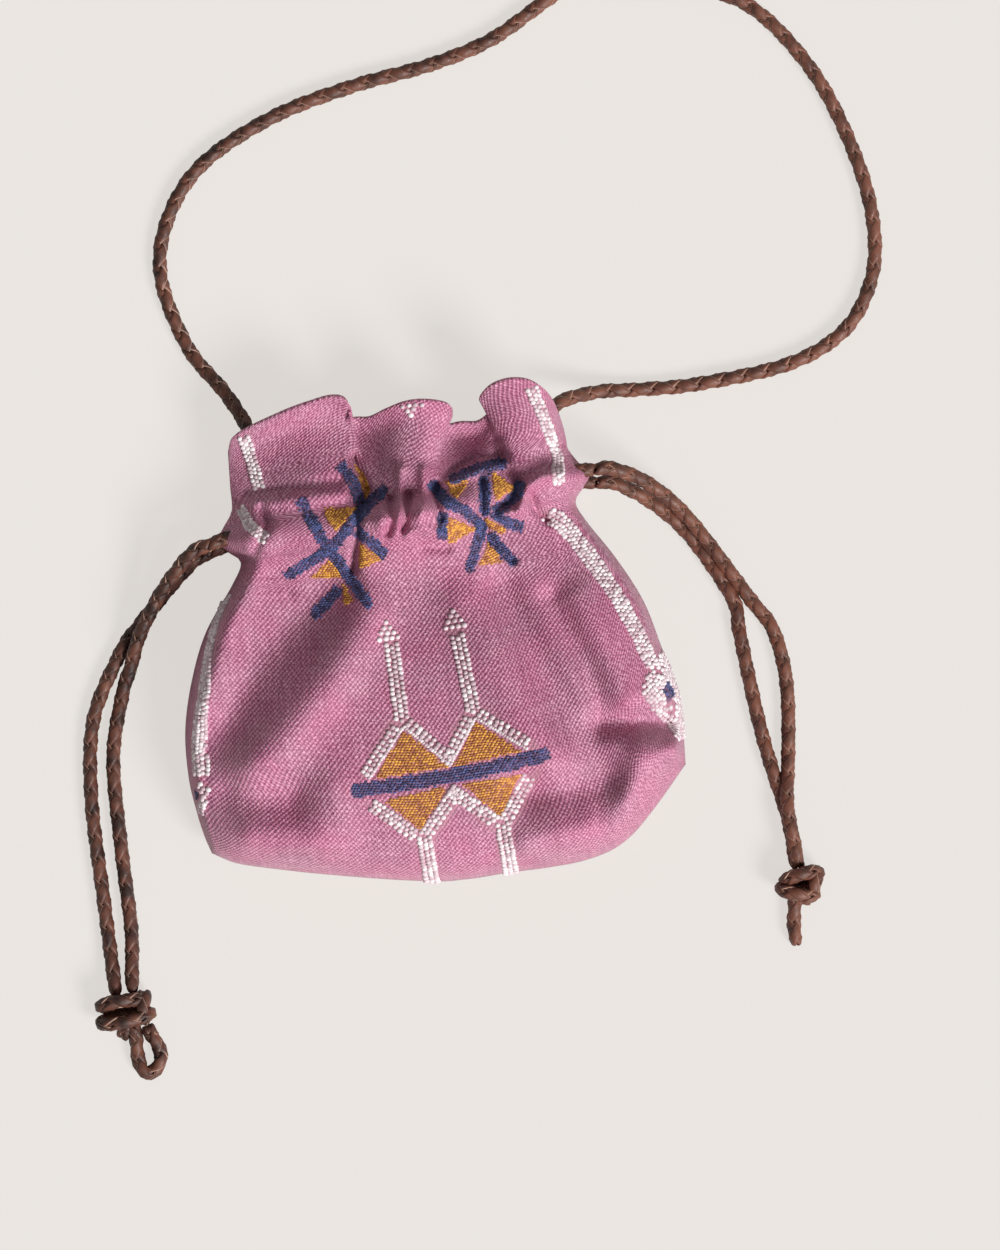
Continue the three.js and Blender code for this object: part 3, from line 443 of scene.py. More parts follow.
BACK_EDGE = [
    (0.05, 76, 14), (0.12, 75, 7), (0.2, 73.5, 3.5), (0.35, 71, 2.5), (0.5, 69, 4), (0.65, 68, 2.5),
    (0.8, 68, 3), (0.88, 67.5, 6), (0.95, 66, 13),
]
LAST = len(RUFFLE_EDGE) - 1
RUFFLE_BASE = 20
RUFFLE_SWELL = np.interp(np.arange(LAST + 1), [0, 2, 6, 8, 12, 29], [0.72, 0.56, 0.56, 0.7, 0.72, 0.72])
RUFFLE_EDGE[:, 2] = RUFFLE_BASE + (RUFFLE_EDGE[:, 2] - RUFFLE_BASE) * RUFFLE_SWELL
SOFT_FOLDS = [
    ([(-28.9, 21.5), (-49.0, 5.1), (-67.0, -11.5), (-78.3, -27.6)], 10, -4.4),
    ([(-14.4, 12.0), (-32.4, -9.0), (-50.8, -25.0), (-66.9, -36.9)], 9, 5.2),
    ([(19.2, 9.2), (27.9, -20.7), (35.5, -46.4), (42.5, -63.3)], 9, 3.6),
    ([(33.7, 12.2), (43.4, -21.9), (53.5, -49.7), (58.2, -62.0)], 7, -5.0),
    ([(60.2, 3.7), (68.9, -25.8), (71.1, -34.1)], 7, 3.4),
    ([(50.2, 4.7), (58.9, -20.8), (61.1, -34.1)], 5, -3.6),
    ([(84.1, -57.6), (72.6, -57.3), (65.7, -68.9), (60.0, -80.2)], 7, 7.5),
    ([(60.6, -42.2), (73.3, -43.6), (86.8, -46.9)], 5, -8.5),
    ([(31.0, -61.2), (44.7, -63.2)], 8, -9.0),
    ([(27.0, -81.0), (46.0, -81.0)], 7, 7.0),
    ([(-73.8, -42.2), (-55.1, -47.8)], 8, -5.4),
    ([(-70.0, -60.7), (-50.8, -66.3)], 8, 4.6),
    ([(-40.0, -65.7), (-38.8, -48.3)], 8, 2.6),
    ([(-53.0, 41.0), (-71.0, 13.0), (-79.0, -8.0)], 8.5, 7.0),
    ([(0.0, 45.0), (10.0, 45.0)], 20, 11.0),
]


# Pleats, rolls and creases of the gathered neck as seen from above: line, width, height
FINE_FOLDS = [
    ([(-9.9, 67.1), (-7.8, 54.7), (-11.9, 47.9), (-14.4, 38.1), (-17.7, 28.2)], 1.7, -4.2),
    ([(0.1, 50.0), (-0.2, 42.5), (-3.1, 38.3)], 1.4, -3.4),
    ([(-3.9, 47.9), (-5.1, 41.5)], 2.6, 2.2),
    ([(5.5, 59.9), (2.9, 47.7), (1.3, 42.6)], 1.9, 3.0),
    ([(6.7, 50.3), (4.6, 43.0), (2.7, 38.7)], 1.4, -3.6),
    ([(13.6, 58.5), (12.4, 52.1), (10.2, 43.8), (9.0, 41.2)], 2.2, 2.8),
    ([(16.9, 52.8), (15.9, 45.3), (16.4, 39.8)], 1.4, -3.8),
    ([(3.8, 36.6), (9.8, 37.7), (16.5, 34.3)], 1.7, 2.4),
    ([(9.1, 31.7), (16.3, 29.3)], 1.8, -2.0),
    ([(-12.5, 30.5), (-13.8, 19.9)], 4.0, 1.6),
    ([(22.3, 52.5), (33.7, 55.5), (42.0, 55.1)], 1.8, 2.2),
    ([(23.6, 55.6), (34.3, 58.7), (41.9, 58.4)], 2.4, -3.4),
    ([(61.4, 48.0), (54.6, 48.5), (49.1, 46.2), (46.7, 41.2), (44.3, 37.6), (38.8, 37.5)], 2.0, 4.2),
    ([(49.5, 42.1), (50.1, 37.7), (53.6, 32.7)], 1.6, -3.6),
    ([(46.1, 47.5), (42.7, 42.7), (39.9, 41.3)], 1.9, -3.2),
    ([(33.3, 51.2), (32.1, 44.2), (30.8, 38.3), (31.7, 30.5), (39.1, 20.8)], 1.4, -2.8),
    ([(40.8, 64.4), (42.0, 54.8), (45.3, 49.1)], 2.2, -3.4),
    ([(-49.9, 61.8), (-42.7, 61.3), (-31.4, 60.7), (-17.0, 59.9)], 2.2, -1.6),
    ([(-47.7, 57.0), (-32.4, 56.4), (-17.3, 55.0)], 2.4, 1.8),
    ([(-45.8, 55.5), (-44.8, 48.8), (-50.6, 41.1)], 1.7, -2.8),
    ([(-52.3, 43.2), (-41.2, 24.9)], 3.0, -1.2),
    ([(80.6, -58.3), (87.3, -61.3)], 1.6, -2.4),
    ([(83.1, -54.4), (85.8, -55.6)], 3.0, 1.8),
]


def table(rows, at):
    return np.interp(at, [r[0] for r in rows], [r[1] for r in rows])


# A table read smoothly, its corners rounded over a few millimetres
def soft_table(rows, at, soft=3.0):
    shifts = np.linspace(-2, 2, 17)
    share = np.exp(-shifts ** 2)
    low, high = rows[0][0], rows[-1][0]
    near = np.minimum(1, np.minimum(np.asarray(at) - low, high - np.asarray(at)) / (2 * soft))
    reach = soft * np.clip(near, 0, 1)
    return sum(w * table(rows, at + d * reach) for w, d in zip(share, shifts)) / share.sum()


def ease(v):
    v = np.clip(v, 0, 1)
    return v * v * (3 - 2 * v)


def mix(a, b, f):
    return a + (b - a) * f


# Nets of the two panels
K = np.arange(LAST + 1)
SPREAD = K / LAST - 0.6 * np.sin(2 * np.pi * K / LAST) / (2 * np.pi)
GATHERED = (CASING_X - CASING_X[0]) / (CASING_X[-1] - CASING_X[0])


def side_shape(f, power):
    return np.maximum(0, 1 - np.abs(2 * f - 1) ** power) ** (1 / power)


def rim_shape(t, power):
    return (1 - (1 - t / RIM_PART) ** power) ** (1 / power) if t < RIM_PART else 1.0


def belly_seam(t):
    return mix(SEAM_HEIGHT_BOTTOM, SEAM_HEIGHT_NECK, t)


def belly_plan(t, fraction, bottom_fraction):
    xb = mix(LEFT_SIDE[0][1], RIGHT_SIDE[0][1], bottom_fraction)
    xl = soft_table(LEFT_SIDE, mix(LEFT_SIDE[0][0], BELLY_TOP_Y, t))
    xr = soft_table(RIGHT_SIDE, mix(RIGHT_SIDE[0][0], BELLY_TOP_Y, t))
    return mix(xl, xr, fraction), mix(soft_table(BOTTOM_EDGE, xb, 6.0), BELLY_TOP_Y, t)


def belly_row(t):
    f = mix(SPREAD, GATHERED, ease(t))
    x, y = belly_plan(t, f, SPREAD)
    swell = rim_shape(t, RIM_POWER) * side_shape(f, SIDE_POWER)
    z = belly_seam(t) + (table(CROWN_HEIGHTS, t) - belly_seam(t)) * swell
    return np.stack([x, y, z], axis=1)


def neck_row(y, left, right, seam, height):
    z = np.array(height, float)
    z[0] = seam
    z[-1] = seam
    return np.stack([mix(left, right, GATHERED), np.full(LAST + 1, float(y)), z], axis=1)


BELLY_ROWS = [0, 0.02, 0.07, 0.16, 0.3, 0.48, 0.66, 0.84, 1]
belly_rows = [belly_row(t) for t in BELLY_ROWS]
row_below = neck_row(37.5, -56.8, 64.8, 18, mix(belly_rows[-1][:, 2], CASING_Z, 0.5))
casing_low = neck_row(CASING_Y - 4.6, -60.5, 68.4, 18.6, CASING_Z - 0.6)
casing_mid = neck_row(CASING_Y, CASING_X[0], CASING_X[-1], SEAM_HEIGHT_EAR, CASING_Z)
casing_top = neck_row(CASING_Y + 4.6, -60.5, 68.4, 19, CASING_Z - 1.5)
FOOT_DROP = table([
    (-64, 2), (-40, 1.6), (-14, 2), (-7, 2), (13, 2), (19, 3), (24, 4.5), (40, 4.5), (46, 2), (72, 2),
], CASING_X)
RUFFLE_DIP = table([
    (-64, 0), (-50, 4), (-40, 7), (-14, 6.5), (-7, 4), (13, 3), (19, 2.5), (24, 5), (40, 5),
    (46, 3), (60, 1), (72, 0),
], CASING_X)
DOWN = np.array([0.0, 0.0, -1.0])
ruffle_foot = neck_row(56.5, -56.6, 65.6, 19.5, mix(SEAM_HEIGHT_EAR + 0.5, CASING_Z - FOOT_DROP, 0.94))
FRONT_NET = np.array([
    *belly_rows, row_below, casing_low, casing_mid, casing_top, ruffle_foot,
    mix(ruffle_foot, RUFFLE_EDGE, 0.4) + 0.8 * RUFFLE_DIP[:, None] * DOWN,
    mix(ruffle_foot, RUFFLE_EDGE, 0.75) + RUFFLE_DIP[:, None] * DOWN, RUFFLE_EDGE,
])
CASING_ROW = len(BELLY_ROWS) + 2
ROWS = len(FRONT_NET) - 1
BACK_COLUMNS = np.array([
    0, 0.02, 0.05, 0.09, 0.14, 0.2, 0.3, 0.4, 0.5, 0.6, 0.7, 0.8, 0.86, 0.91, 0.95, 0.98, 1,
])


def back_belly_row(t):
    x, y = belly_plan(t, BACK_COLUMNS, BACK_COLUMNS)
    flat = np.minimum(1, BACK_FLAT * rim_shape(t, RIM_POWER) * side_shape(BACK_COLUMNS, SIDE_POWER))
    return np.stack([x, y, belly_seam(t) * (1 - flat)], axis=1)


def back_neck_row(front):
    line = mix(front[0][None], front[-1][None], BACK_COLUMNS[:, None])
    line[:, 2] *= np.maximum(0, 1 - BACK_FLAT * side_shape(BACK_COLUMNS, 3.4))
    return line


def back_edge_row():
    rows = [(0, *RUFFLE_EDGE[0][1:]), *BACK_EDGE, (1, *RUFFLE_EDGE[-1][1:])]
    x = mix(RUFFLE_EDGE[0][0], RUFFLE_EDGE[-1][0], BACK_COLUMNS)
    y = table([(r[0], r[1]) for r in rows], BACK_COLUMNS)
    z = table([(r[0], r[2]) for r in rows], BACK_COLUMNS)
    return np.stack([x, y, z], axis=1)


back_foot = back_neck_row(ruffle_foot)
back_edge = back_edge_row()
BACK_NET = np.array([
    *[back_belly_row(t) for t in BELLY_ROWS],
    *[back_neck_row(row) for row in (row_below, casing_low, casing_mid, casing_top)],
    back_foot, mix(back_foot, back_edge, 0.4), mix(back_foot, back_edge, 0.75), back_edge,
])


# Weights that carry a row of net points to samples along it
def weights(at, count):
    w = np.zeros((len(at), count))
    i = np.clip(np.floor(at).astype(int), 0, count - 2)
    f = at - i
    parts = (
        (-1, 0.5 * (-f + 2 * f ** 2 - f ** 3)), (0, 0.5 * (2 - 5 * f ** 2 + 3 * f ** 3)),
        (1, 0.5 * (f + 4 * f ** 2 - 3 * f ** 3)), (2, 0.5 * (f ** 3 - f ** 2)),
    )
    rows = np.arange(len(at))
    for shift, value in parts:
        j = i + shift
        inside = (j >= 0) & (j < count)
        np.add.at(w, (rows[inside], j[inside]), value[inside])
        low = j < 0
        np.add.at(w, (rows[low], np.zeros(low.sum(), int)), 2 * value[low])
        np.add.at(w, (rows[low], np.ones(low.sum(), int)), -value[low])
        high = j >= count
        np.add.at(w, (rows[high], np.full(high.sum(), count - 1)), 2 * value[high])
        np.add.at(w, (rows[high], np.full(high.sum(), count - 2)), -value[high])
    return w


def on_net(net, columns, rows):
    return np.einsum("ri,ijk,cj->rck", weights(rows, net.shape[0]), net, weights(columns, net.shape[1]))


FAR = 1e9


# Distance from a line; a line with square ends reaches past them by a share of its end pieces
def near_line(line, x, y, square_ends=None):
    best = np.full(x.shape, FAR)
    for i, ((ax, ay), (bx, by)) in enumerate(zip(line, line[1:])):
        f = ((x - ax) * (bx - ax) + (y - ay) * (by - ay)) / ((bx - ax) ** 2 + (by - ay) ** 2)
        inside_f = np.clip(f, 0, 1)
        gap = np.hypot(x - mix(ax, bx, inside_f), y - mix(ay, by, inside_f))
        if square_ends is not None:
            past = ((i == 0) & (f < -square_ends)) | ((i == len(line) - 2) & (f > 1 + square_ends))
            gap = np.where(past, FAR, gap)
        best = np.minimum(best, gap)
    return best


def fold_height(folds, x, y):
    return sum(height * np.exp(-(near_line(line, x, y) / width) ** 2) for line, width, height in folds)


def surface_normals(p):
    n = np.cross(np.gradient(p, axis=1), np.gradient(p, axis=0))
    return n / np.maximum(np.linalg.norm(n, axis=2), 1e-9)[:, :, None]


ROW_STEPS = [3, 6, 11, 16, 21, 21, 21, 20, 9, 6, 6, 6, 7, 13, 12, 9]
FRONT_ROWS = np.r_[np.concatenate([i + np.arange(n) / n for i, n in enumerate(ROW_STEPS)]), ROWS]
FRONT_COLUMNS = np.arange(0, LAST * 8 + 1) / 8.0


# Plan of a point as the camera sees it, on the level of the view
def seen_plan(p):
    scale = VIEW_DISTANCE / (VIEW_DISTANCE + VIEW_LEVEL - p[..., 2])
    return (VIEW_CENTRE[0] + (p[..., 0] - VIEW_CENTRE[0]) * scale,
            VIEW_CENTRE[1] + (p[..., 1] - VIEW_CENTRE[1]) * scale)


def front_surface():
    p = on_net(FRONT_NET, FRONT_COLUMNS, FRONT_ROWS)
    column, row = np.meshgrid(FRONT_COLUMNS, FRONT_ROWS)
    near_side = np.minimum(column, LAST - column)
    fade = ease(near_side / 2) * ease((row - 0.4) / 2.4) * ease((CASING_ROW + 1 - row) / 2)
    x, y = seen_plan(p)
    p[:, :, 2] += fold_height(SOFT_FOLDS, x, y) * fade
    p[:, :, 2] += fold_height(FINE_FOLDS, x, y) * ease(near_side / 1.2)
    p[:, :, 2] += SEAM_HALF_GAP
    return p


# Cloth measured along its threads, in millimetres from the middle column and the bottom seam
def thread_measure(p):
    across = np.cumsum(np.linalg.norm(np.diff(p, axis=1), axis=2), axis=1)
    across = np.concatenate([np.zeros((len(p), 1)), across], axis=1)
    across -= across[:, across.shape[1] // 2][:, None]
    up = np.cumsum(np.linalg.norm(np.diff(p, axis=0), axis=2), axis=0)
    up = np.concatenate([np.zeros((1, p.shape[1])), up], axis=0)
    middle = up[:, p.shape[1] // 2][:, None]
    return across, mix(up, middle, 0.75)


def panel_object(name, outer, inner, material):
    rows, wide = outer.shape[:2]
    vertices = np.vstack([outer.reshape(-1, 3), inner.reshape(-1, 3)]) * MM
    index = np.arange(rows * wide).reshape(rows, wide)
    under = rows * wide
    quads = np.stack([index[:-1, :-1], index[:-1, 1:], index[1:, 1:], index[1:, :-1]], axis=-1).reshape(-1, 4)
    back = quads[:, ::-1] + under
    loop = np.concatenate([index[0, :-1], index[:-1, -1], index[-1, :0:-1], index[:0:-1, 0]])
    ahead = np.roll(loop, -1)
    rim = np.stack([ahead, loop, loop + under, ahead + under], axis=1)
    obj = mesh_object(name, vertices, np.vstack([quads, back, rim]).tolist(), material)
    across, up = thread_measure(outer)
    add_values(obj, "thread_across", np.r_[across.ravel(), across.ravel()])
    add_values(obj, "thread_up", np.r_[up.ravel(), up.ravel()])
    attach(obj, "root")
    return obj


# Cloth: plain weave of pale and deep rose threads with a silky slub
WARP_PITCH = 0.9
WEFT_PITCH = 1.02
UNDER_TINTS = (
    ("under_orange", (0.42, 0.15, 0.06)), ("under_blue", (0.055, 0.04, 0.11)), ("under_white", (0.46, 0.20, 0.27)),
)


def cloth_material():
    material, tree, shader = new_material("woven_cloth")
    across = attribute(tree, "thread_across")
    up = attribute(tree, "thread_up")
    place = node(tree, "ShaderNodeCombineXYZ", {0: across, 1: up}).outputs[0]
    wander = noise(tree, place, 0.25, 2.0)
    shift = range_node(tree, wander, 0.0, 1.0, -1.2, 1.2)
    jitter = noise(tree, place, 0.9, 1.0)
    shift = math_node(tree, "ADD", shift, range_node(tree, jitter, 0.2, 0.8, -0.35, 0.35))
    waves = []
    for along, pitch in ((across, WARP_PITCH), (up, WEFT_PITCH)):
        angle = math_node(tree, "MULTIPLY", math_node(tree, "ADD", along, shift), math.pi / pitch)
        waves.append(math_node(tree, "SINE", angle))
    weave = math_node(tree, "MULTIPLY", *waves)
    streak_place = node(tree, "ShaderNodeCombineXYZ", {
        0: math_node(tree, "MULTIPLY", across, 0.06), 1: math_node(tree, "MULTIPLY", up, 0.9),
    }).outputs[0]
    streak = noise(tree, streak_place, 1.0, 4.0)
    grain = noise(tree, place, 1.6, 3.0)
    warp_place = node(tree, "ShaderNodeCombineXYZ", {
        0: math_node(tree, "MULTIPLY", across, 0.8), 1: math_node(tree, "MULTIPLY", up, 0.05), 2: 7.0,
    }).outputs[0]
    warp = noise(tree, warp_place, 1.0, 4.0)
    over = range_node(tree, weave, -0.55, 0.75)
    grainy = range_node(tree, grain, 0.3, 0.7, -0.1, 0.35)
    mixed = math_node(tree, "ADD", math_node(tree, "MULTIPLY", over, 0.75), grainy)
    colour = blend_colours(tree, mixed, (0.29, 0.065, 0.135), (0.80, 0.44, 0.56))
    tint = blend_colours(tree, range_node(tree, streak, 0.35, 0.65), (0.84, 0.72, 0.8), (1.0, 1.0, 1.0))
    patchy = noise(tree, place, 0.045, 5.0)
    tint = blend_colours(tree, range_node(tree, patchy, 0.4, 0.62), tint, (1.04, 0.84, 0.93), "MULTIPLY")
    colour = blend_colours(tree, 1.0, colour, tint, "MULTIPLY")
    warp_tint = blend_colours(tree, range_node(tree, warp, 0.36, 0.62), (0.86, 0.78, 0.83), (1.03, 1.03, 1.03))
    colour = blend_colours(tree, 1.0, colour, warp_tint, "MULTIPLY")
    for name, under in UNDER_TINTS:
        part = attribute(tree, name)
        colour = blend_colours(tree, math_node(tree, "MULTIPLY", part, 0.75), colour, under)
    tree.links.new(colour, shader.inputs["Base Color"])
    shader.inputs["Roughness"].default_value = 0.58
    shader.inputs["Sheen Weight"].default_value = 0.12
    shader.inputs["Sheen Roughness"].default_value = 0.4
    bump = node(tree, "ShaderNodeBump", {"Strength": 0.6, "Distance": 0.0005, "Height": over})
    tree.links.new(bump.outputs[0], shader.inputs["Normal"])
    return material


CLOTH = cloth_material()
front = front_surface()
front_normals = surface_normals(front)
inner = front - WALL * front_normals
inner[0] = front[0] + [0, WALL, 0]
inner[:, 0] = front[:, 0] + [WALL, 0, 0]
inner[:, -1] = front[:, -1] - [WALL, 0, 0]
front_cloth = panel_object("front_cloth", front, inner, CLOTH)
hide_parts("front_panel")

BACK_ROW_STEPS = [max(2, n // 2) for n in ROW_STEPS]
back_rows = np.r_[np.concatenate([i + np.arange(n) / n for i, n in enumerate(BACK_ROW_STEPS)]), ROWS]
back = on_net(BACK_NET, np.arange(0, 16 * 7 + 1) / 7.0, back_rows)
back[:, :, 2] = np.maximum(0.02, back[:, :, 2] - SEAM_HALF_GAP)
back_inner = back + WALL * surface_normals(back)
back_inner[0] = back[0] + [0, WALL, 0]
back_inner[:, 0] = back[:, 0] + [WALL, 0, 0]
back_inner[:, -1] = back[:, -1] - [WALL, 0, 0]
back_cloth = panel_object("back_cloth", back_inner, back, CLOTH)
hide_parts("back_panel")


# Yarn of the patterns
def yarn_material(name, dark, light, roughness):
    material, tree, shader = new_material(name)
    place = node(tree, "ShaderNodeTexCoord").outputs["Object"]
    tone = attribute(tree, "tone")
    fine = noise(tree, place, 1800.0, 2.0)
    both = math_node(tree, "ADD", math_node(tree, "MULTIPLY", tone, 0.7), math_node(tree, "MULTIPLY", fine, 0.3))
    tree.links.new(blend_colours(tree, range_node(tree, both, 0.2, 0.8), dark, light), shader.inputs["Base Color"])
    shader.inputs["Roughness"].default_value = roughness
    bump = node(tree, "ShaderNodeBump", {"Strength": 0.3, "Distance": 0.0002, "Height": fine})
    tree.links.new(bump.outputs[0], shader.inputs["Normal"])
    return material


WHITE = yarn_material("white_yarn", (0.54, 0.38, 0.43), (0.86, 0.78, 0.79), 0.5)
ORANGE = yarn_material("orange_yarn", (0.36, 0.12, 0.03), (0.8, 0.4, 0.06), 0.6)
BLUE = yarn_material("blue_yarn", (0.02, 0.022, 0.07), (0.095, 0.115, 0.30), 0.6)

# Pattern outlines seen from above, in millimetres
WHITE_SHAPES = [
    [(-9.5, 7.5), (-5.7, 1.5), (-6.2, -1.3), (-7.2, -26.0), (-13.0, -26.0), (-11.6, -1.1), (-13.3, 2.4)],
    [(14.8, 7.4), (18.8, 0.6), (17.4, -2.3), (17.8, -28.0), (13.1, -28.2), (12.2, -2.2), (9.8, 0.3)],
    [(-29.5, -44.8), (-13.7, -25.9), (-9.5, -24.8), (-10.0, -31.3), (-25.0, -47.0)],
    [(-9.5, -24.8), (-5.5, -28.5), (0.5, -37.5), (3.4, -41.7), (4.0, -48.0), (-10.0, -31.3)],
    [(3.4, -41.7), (7.4, -33.3), (12.0, -28.4), (16.2, -27.0), (15.9, -32.7), (4.0, -48.0)],
    [(16.2, -27.0), (19.9, -28.7), (27.7, -37.4), (37.2, -45.3), (35.8, -46.9), (30.4, -46.9), (15.9, -32.7)],
    [(-29.6, -53.5), (-23.7, -54.9), (-10.9, -68.5), (-10.4, -73.7), (-14.3, -73.0), (-19.0, -67.0)],
    [(-10.9, -68.5), (1.9, -55.6), (4.0, -54.5), (5.5, -61.7), (-3.1, -69.2), (-6.4, -73.3), (-10.4, -73.7)],
    [(4.0, -54.5), (18.1, -68.7), (18.9, -73.9), (14.6, -73.8), (9.9, -67.6), (5.5, -61.7)],
    [(18.1, -68.7), (28.2, -54.9), (36.0, -54.1), (32.8, -59.4), (23.6, -72.2), (18.9, -73.9)],
    [(-12.8, -72.5), (-6.7, -72.9), (-7.0, -91.0), (-12.9, -89.9)],
    [(15.5, -72.9), (22.0, -72.5), (21.9, -93.3), (14.9, -92.1)],
]
ORANGE_SHAPES = [
    [(-10.2, -31.9), (-23.7, -46.9), (-14.3, -47.2), (3.4, -47.5)],
    [(15.8, -33.4), (4.8, -47.7), (29.7, -46.8)],
    [(-21.6, -55.3), (-10.5, -68.2), (1.8, -54.1)],
    [(7.2, -54.7), (18.5, -68.6), (27.8, -54.8)],
    [(-24.7, 51.6), (-12.7, 49.5), (-21.7, 42.0)],
    [(-33.4, 27.8), (-25.1, 33.2), (-22.1, 26.1)],
    [(-13.6, 36.9), (-6.6, 29.5), (-15.6, 27.8)],
    [(-22.3, 24.7), (-19.4, 16.6), (-23.1, 16.1)],
    [(-10.6, 65.0), (-8.2, 62.4), (-6.3, 54.8), (-8.6, 52.0)],
    [(19.9, 53.3), (29.1, 52.0), (22.9, 45.9)],
    [(37.2, 54.5), (39.2, 51.6), (44.8, 46.3), (36.9, 43.0)],
    [(18.4, 40.9), (28.4, 34.3), (17.6, 30.5)],
    [(32.0, 37.7), (39.3, 32.4), (36.4, 30.4), (31.9, 35.2)],
    [(31.4, 28.7), (35.8, 21.0), (26.4, 21.3)],
]
BLUE_STROKES = [
    [(-30.5, -50.1), (-14.9, -50.5), (3.0, -50.7), (21.4, -50.6), (37.9, -49.2)],
    [(-31.4, 54.7), (-25.2, 36.8)],
    [(-40.1, 30.5), (-24.6, 36.4)],
    [(-24.6, 36.4), (-11.7, 47.1), (-2.1, 54.1)],
    [(-24.7, 35.7), (-20.6, 28.0), (-14.6, 15.0)],
    [(-15.3, 65.2), (-12.4, 59.5), (-10.7, 50.5)],
    [(-13.6, 40.9), (-9.3, 36.1), (-6.0, 30.8)],
    [(-33.9, 14.8), (-24.7, 21.5)],
    [(15.5, 53.0), (19.9, 45.3), (25.7, 41.0), (30.3, 34.7)],
    [(34.8, 55.3), (32.4, 40.2)],
    [(30.3, 34.7), (23.5, 21.1)],
    [(32.9, 31.0), (35.3, 26.2), (39.3, 20.0)],
    [(46.5, 47.8), (44.7, 43.7), (39.0, 40.4), (35.5, 39.2)],
    [(35.4, 38.9), (39.1, 35.0), (44.0, 32.2)],
    [(23.1, 53.1), (33.0, 55.7), (42.1, 55.5)],
    [(15.6, 33.8), (17.4, 41.4)],
]
BAR_WIDTH = 4.8
CROSS_WIDTH = 3.7
STROKE_END = 0.12
TINT_SHARE = 0.25
# Line, width and number of rows of stitches
WHITE_STROKES = [
    ([(-64.3, 25.4), (-70.3, 16.4), (-74.8, 5.6), (-78.1, -4.7), (-81.4, -15), (-84.1, -25.4),
      (-85, -34.3)], 10.0, 5),
    ([(54.7, 35), (59.6, 30.1), (66.9, 16.5), (73.6, 1.1), (78.3, -12.8), (81.4, -25.7)], 7.6, 4),
    ([(-47.6, 81.2), (-46.3, 72.3), (-45.5, 62.7)], 4.4, 3),
    ([(56.7, 80), (58.5, 71.7), (59.9, 63.8), (61.6, 54.8), (60.1, 45.0)], 4.6, 3),
    ([(-53.0, 56.5), (-51.5, 50.5), (-46.5, 44.5)], 4.2, 3),
]
WHITE_PATCHES = [
    [(-85.2, -35.7), (-82.4, -40.2), (-84.1, -45.7), (-86, -48.3), (-87.3, -47.3), (-86.7, -44.2), (-85.2, -41.6),
     (-86.4, -38.1)],
    [(81.3, -24.3), (75.5, -34.1), (79.2, -41.7), (81.8, -45.8), (85.3, -52.2), (89.0, -51.8), (89.8, -43.2),
     (90.5, -35.4), (90.2, -25.2), (86.4, -20.1)],
    [(10, 82.7), (16.7, 81.8), (12.6, 79)],
]
BLUE_PATCHES = [
    [(-87.4, -39), (-86.1, -41.4), (-87.5, -43.3)],
    [(85.9, -30.9), (83.2, -34.0), (84.4, -39.3), (87.5, -36.3)],
]


def inside(outline, x, y):
    hit = np.zeros(x.shape, bool)
    for (ax, ay), (bx, by) in zip(outline, outline[1:] + outline[:1]):
        if ay != by:
            crosses = (y < ay) != (y < by)
            hit ^= crosses & (x < ax + (y - ay) * (bx - ax) / (by - ay))
    return hit


def in_blue(x, y, uneven=0.0):
    hit = near_line(BLUE_STROKES[0], x, y, STROKE_END) < BAR_WIDTH / 2 + uneven
    for line in BLUE_STROKES[1:]:
        hit |= near_line(line, x, y, STROKE_END) < CROSS_WIDTH / 2 + uneven
    for shape in BLUE_PATCHES:
        hit |= inside(shape, x, y)
    return hit


def in_orange(x, y):
    hit = np.zeros(x.shape, bool)
    for shape in ORANGE_SHAPES:
        hit |= inside(shape, x, y)
    return hit & ~in_blue(x, y)


def in_white(x, y):
    hit = np.zeros(x.shape, bool)
    for shape in WHITE_SHAPES + WHITE_PATCHES:
        hit |= inside(shape, x, y)
    for line, width, _ in WHITE_STROKES:
        hit |= near_line(line, x, y, STROKE_END) < TINT_SHARE * width
    return hit & ~in_blue(x, y)


# Places on a lattice of threads, found square by square of the fine grid
def lattice_places(p, across, up, step_across, step_up):
    def centre(v):
        return 0.25 * (v[:-1, :-1] + v[:-1, 1:] + v[1:, :-1] + v[1:, 1:])

    def side(v):
        return 0.5 * (v[:-1, 1:] - v[:-1, :-1] + v[1:, 1:] - v[1:, :-1])

    def rise(v):
        return 0.5 * (v[1:, :-1] - v[:-1, :-1] + v[1:, 1:] - v[:-1, 1:])

    uc, vc = centre(across), centre(up)
    us, vs, ur, vr = side(across), side(up), rise(across), rise(up)
    det = us * vr - ur * vs
    det = np.where(np.abs(det) < 1e-6, 1e-6, det)
    pc, ps, pr = centre(p), side(p), rise(p)
    places, along_across, along_up = [], [], []
    for shift_row in (-1, 0, 1):
        j = np.round(vc / step_up) + shift_row
        half = 0.5 * np.mod(j, 2)
        for shift_column in (-1, 0, 1):
            i = np.round(uc / step_across - half) + shift_column
            du = (i + half) * step_across - uc
            dv = j * step_up - vc
            a = (du * vr - dv * ur) / det
            b = (us * dv - vs * du) / det
            ok = (a >= -0.5) & (a < 0.5) & (b >= -0.5) & (b < 0.5)
            places.append((pc + a[:, :, None] * ps + b[:, :, None] * pr)[ok])
            along_across.append(ps[ok])
            along_up.append(pr[ok])
    return np.vstack(places), np.vstack(along_across), np.vstack(along_up)


NUB_SIDES = 8
TANGENT_REACH = 1.2


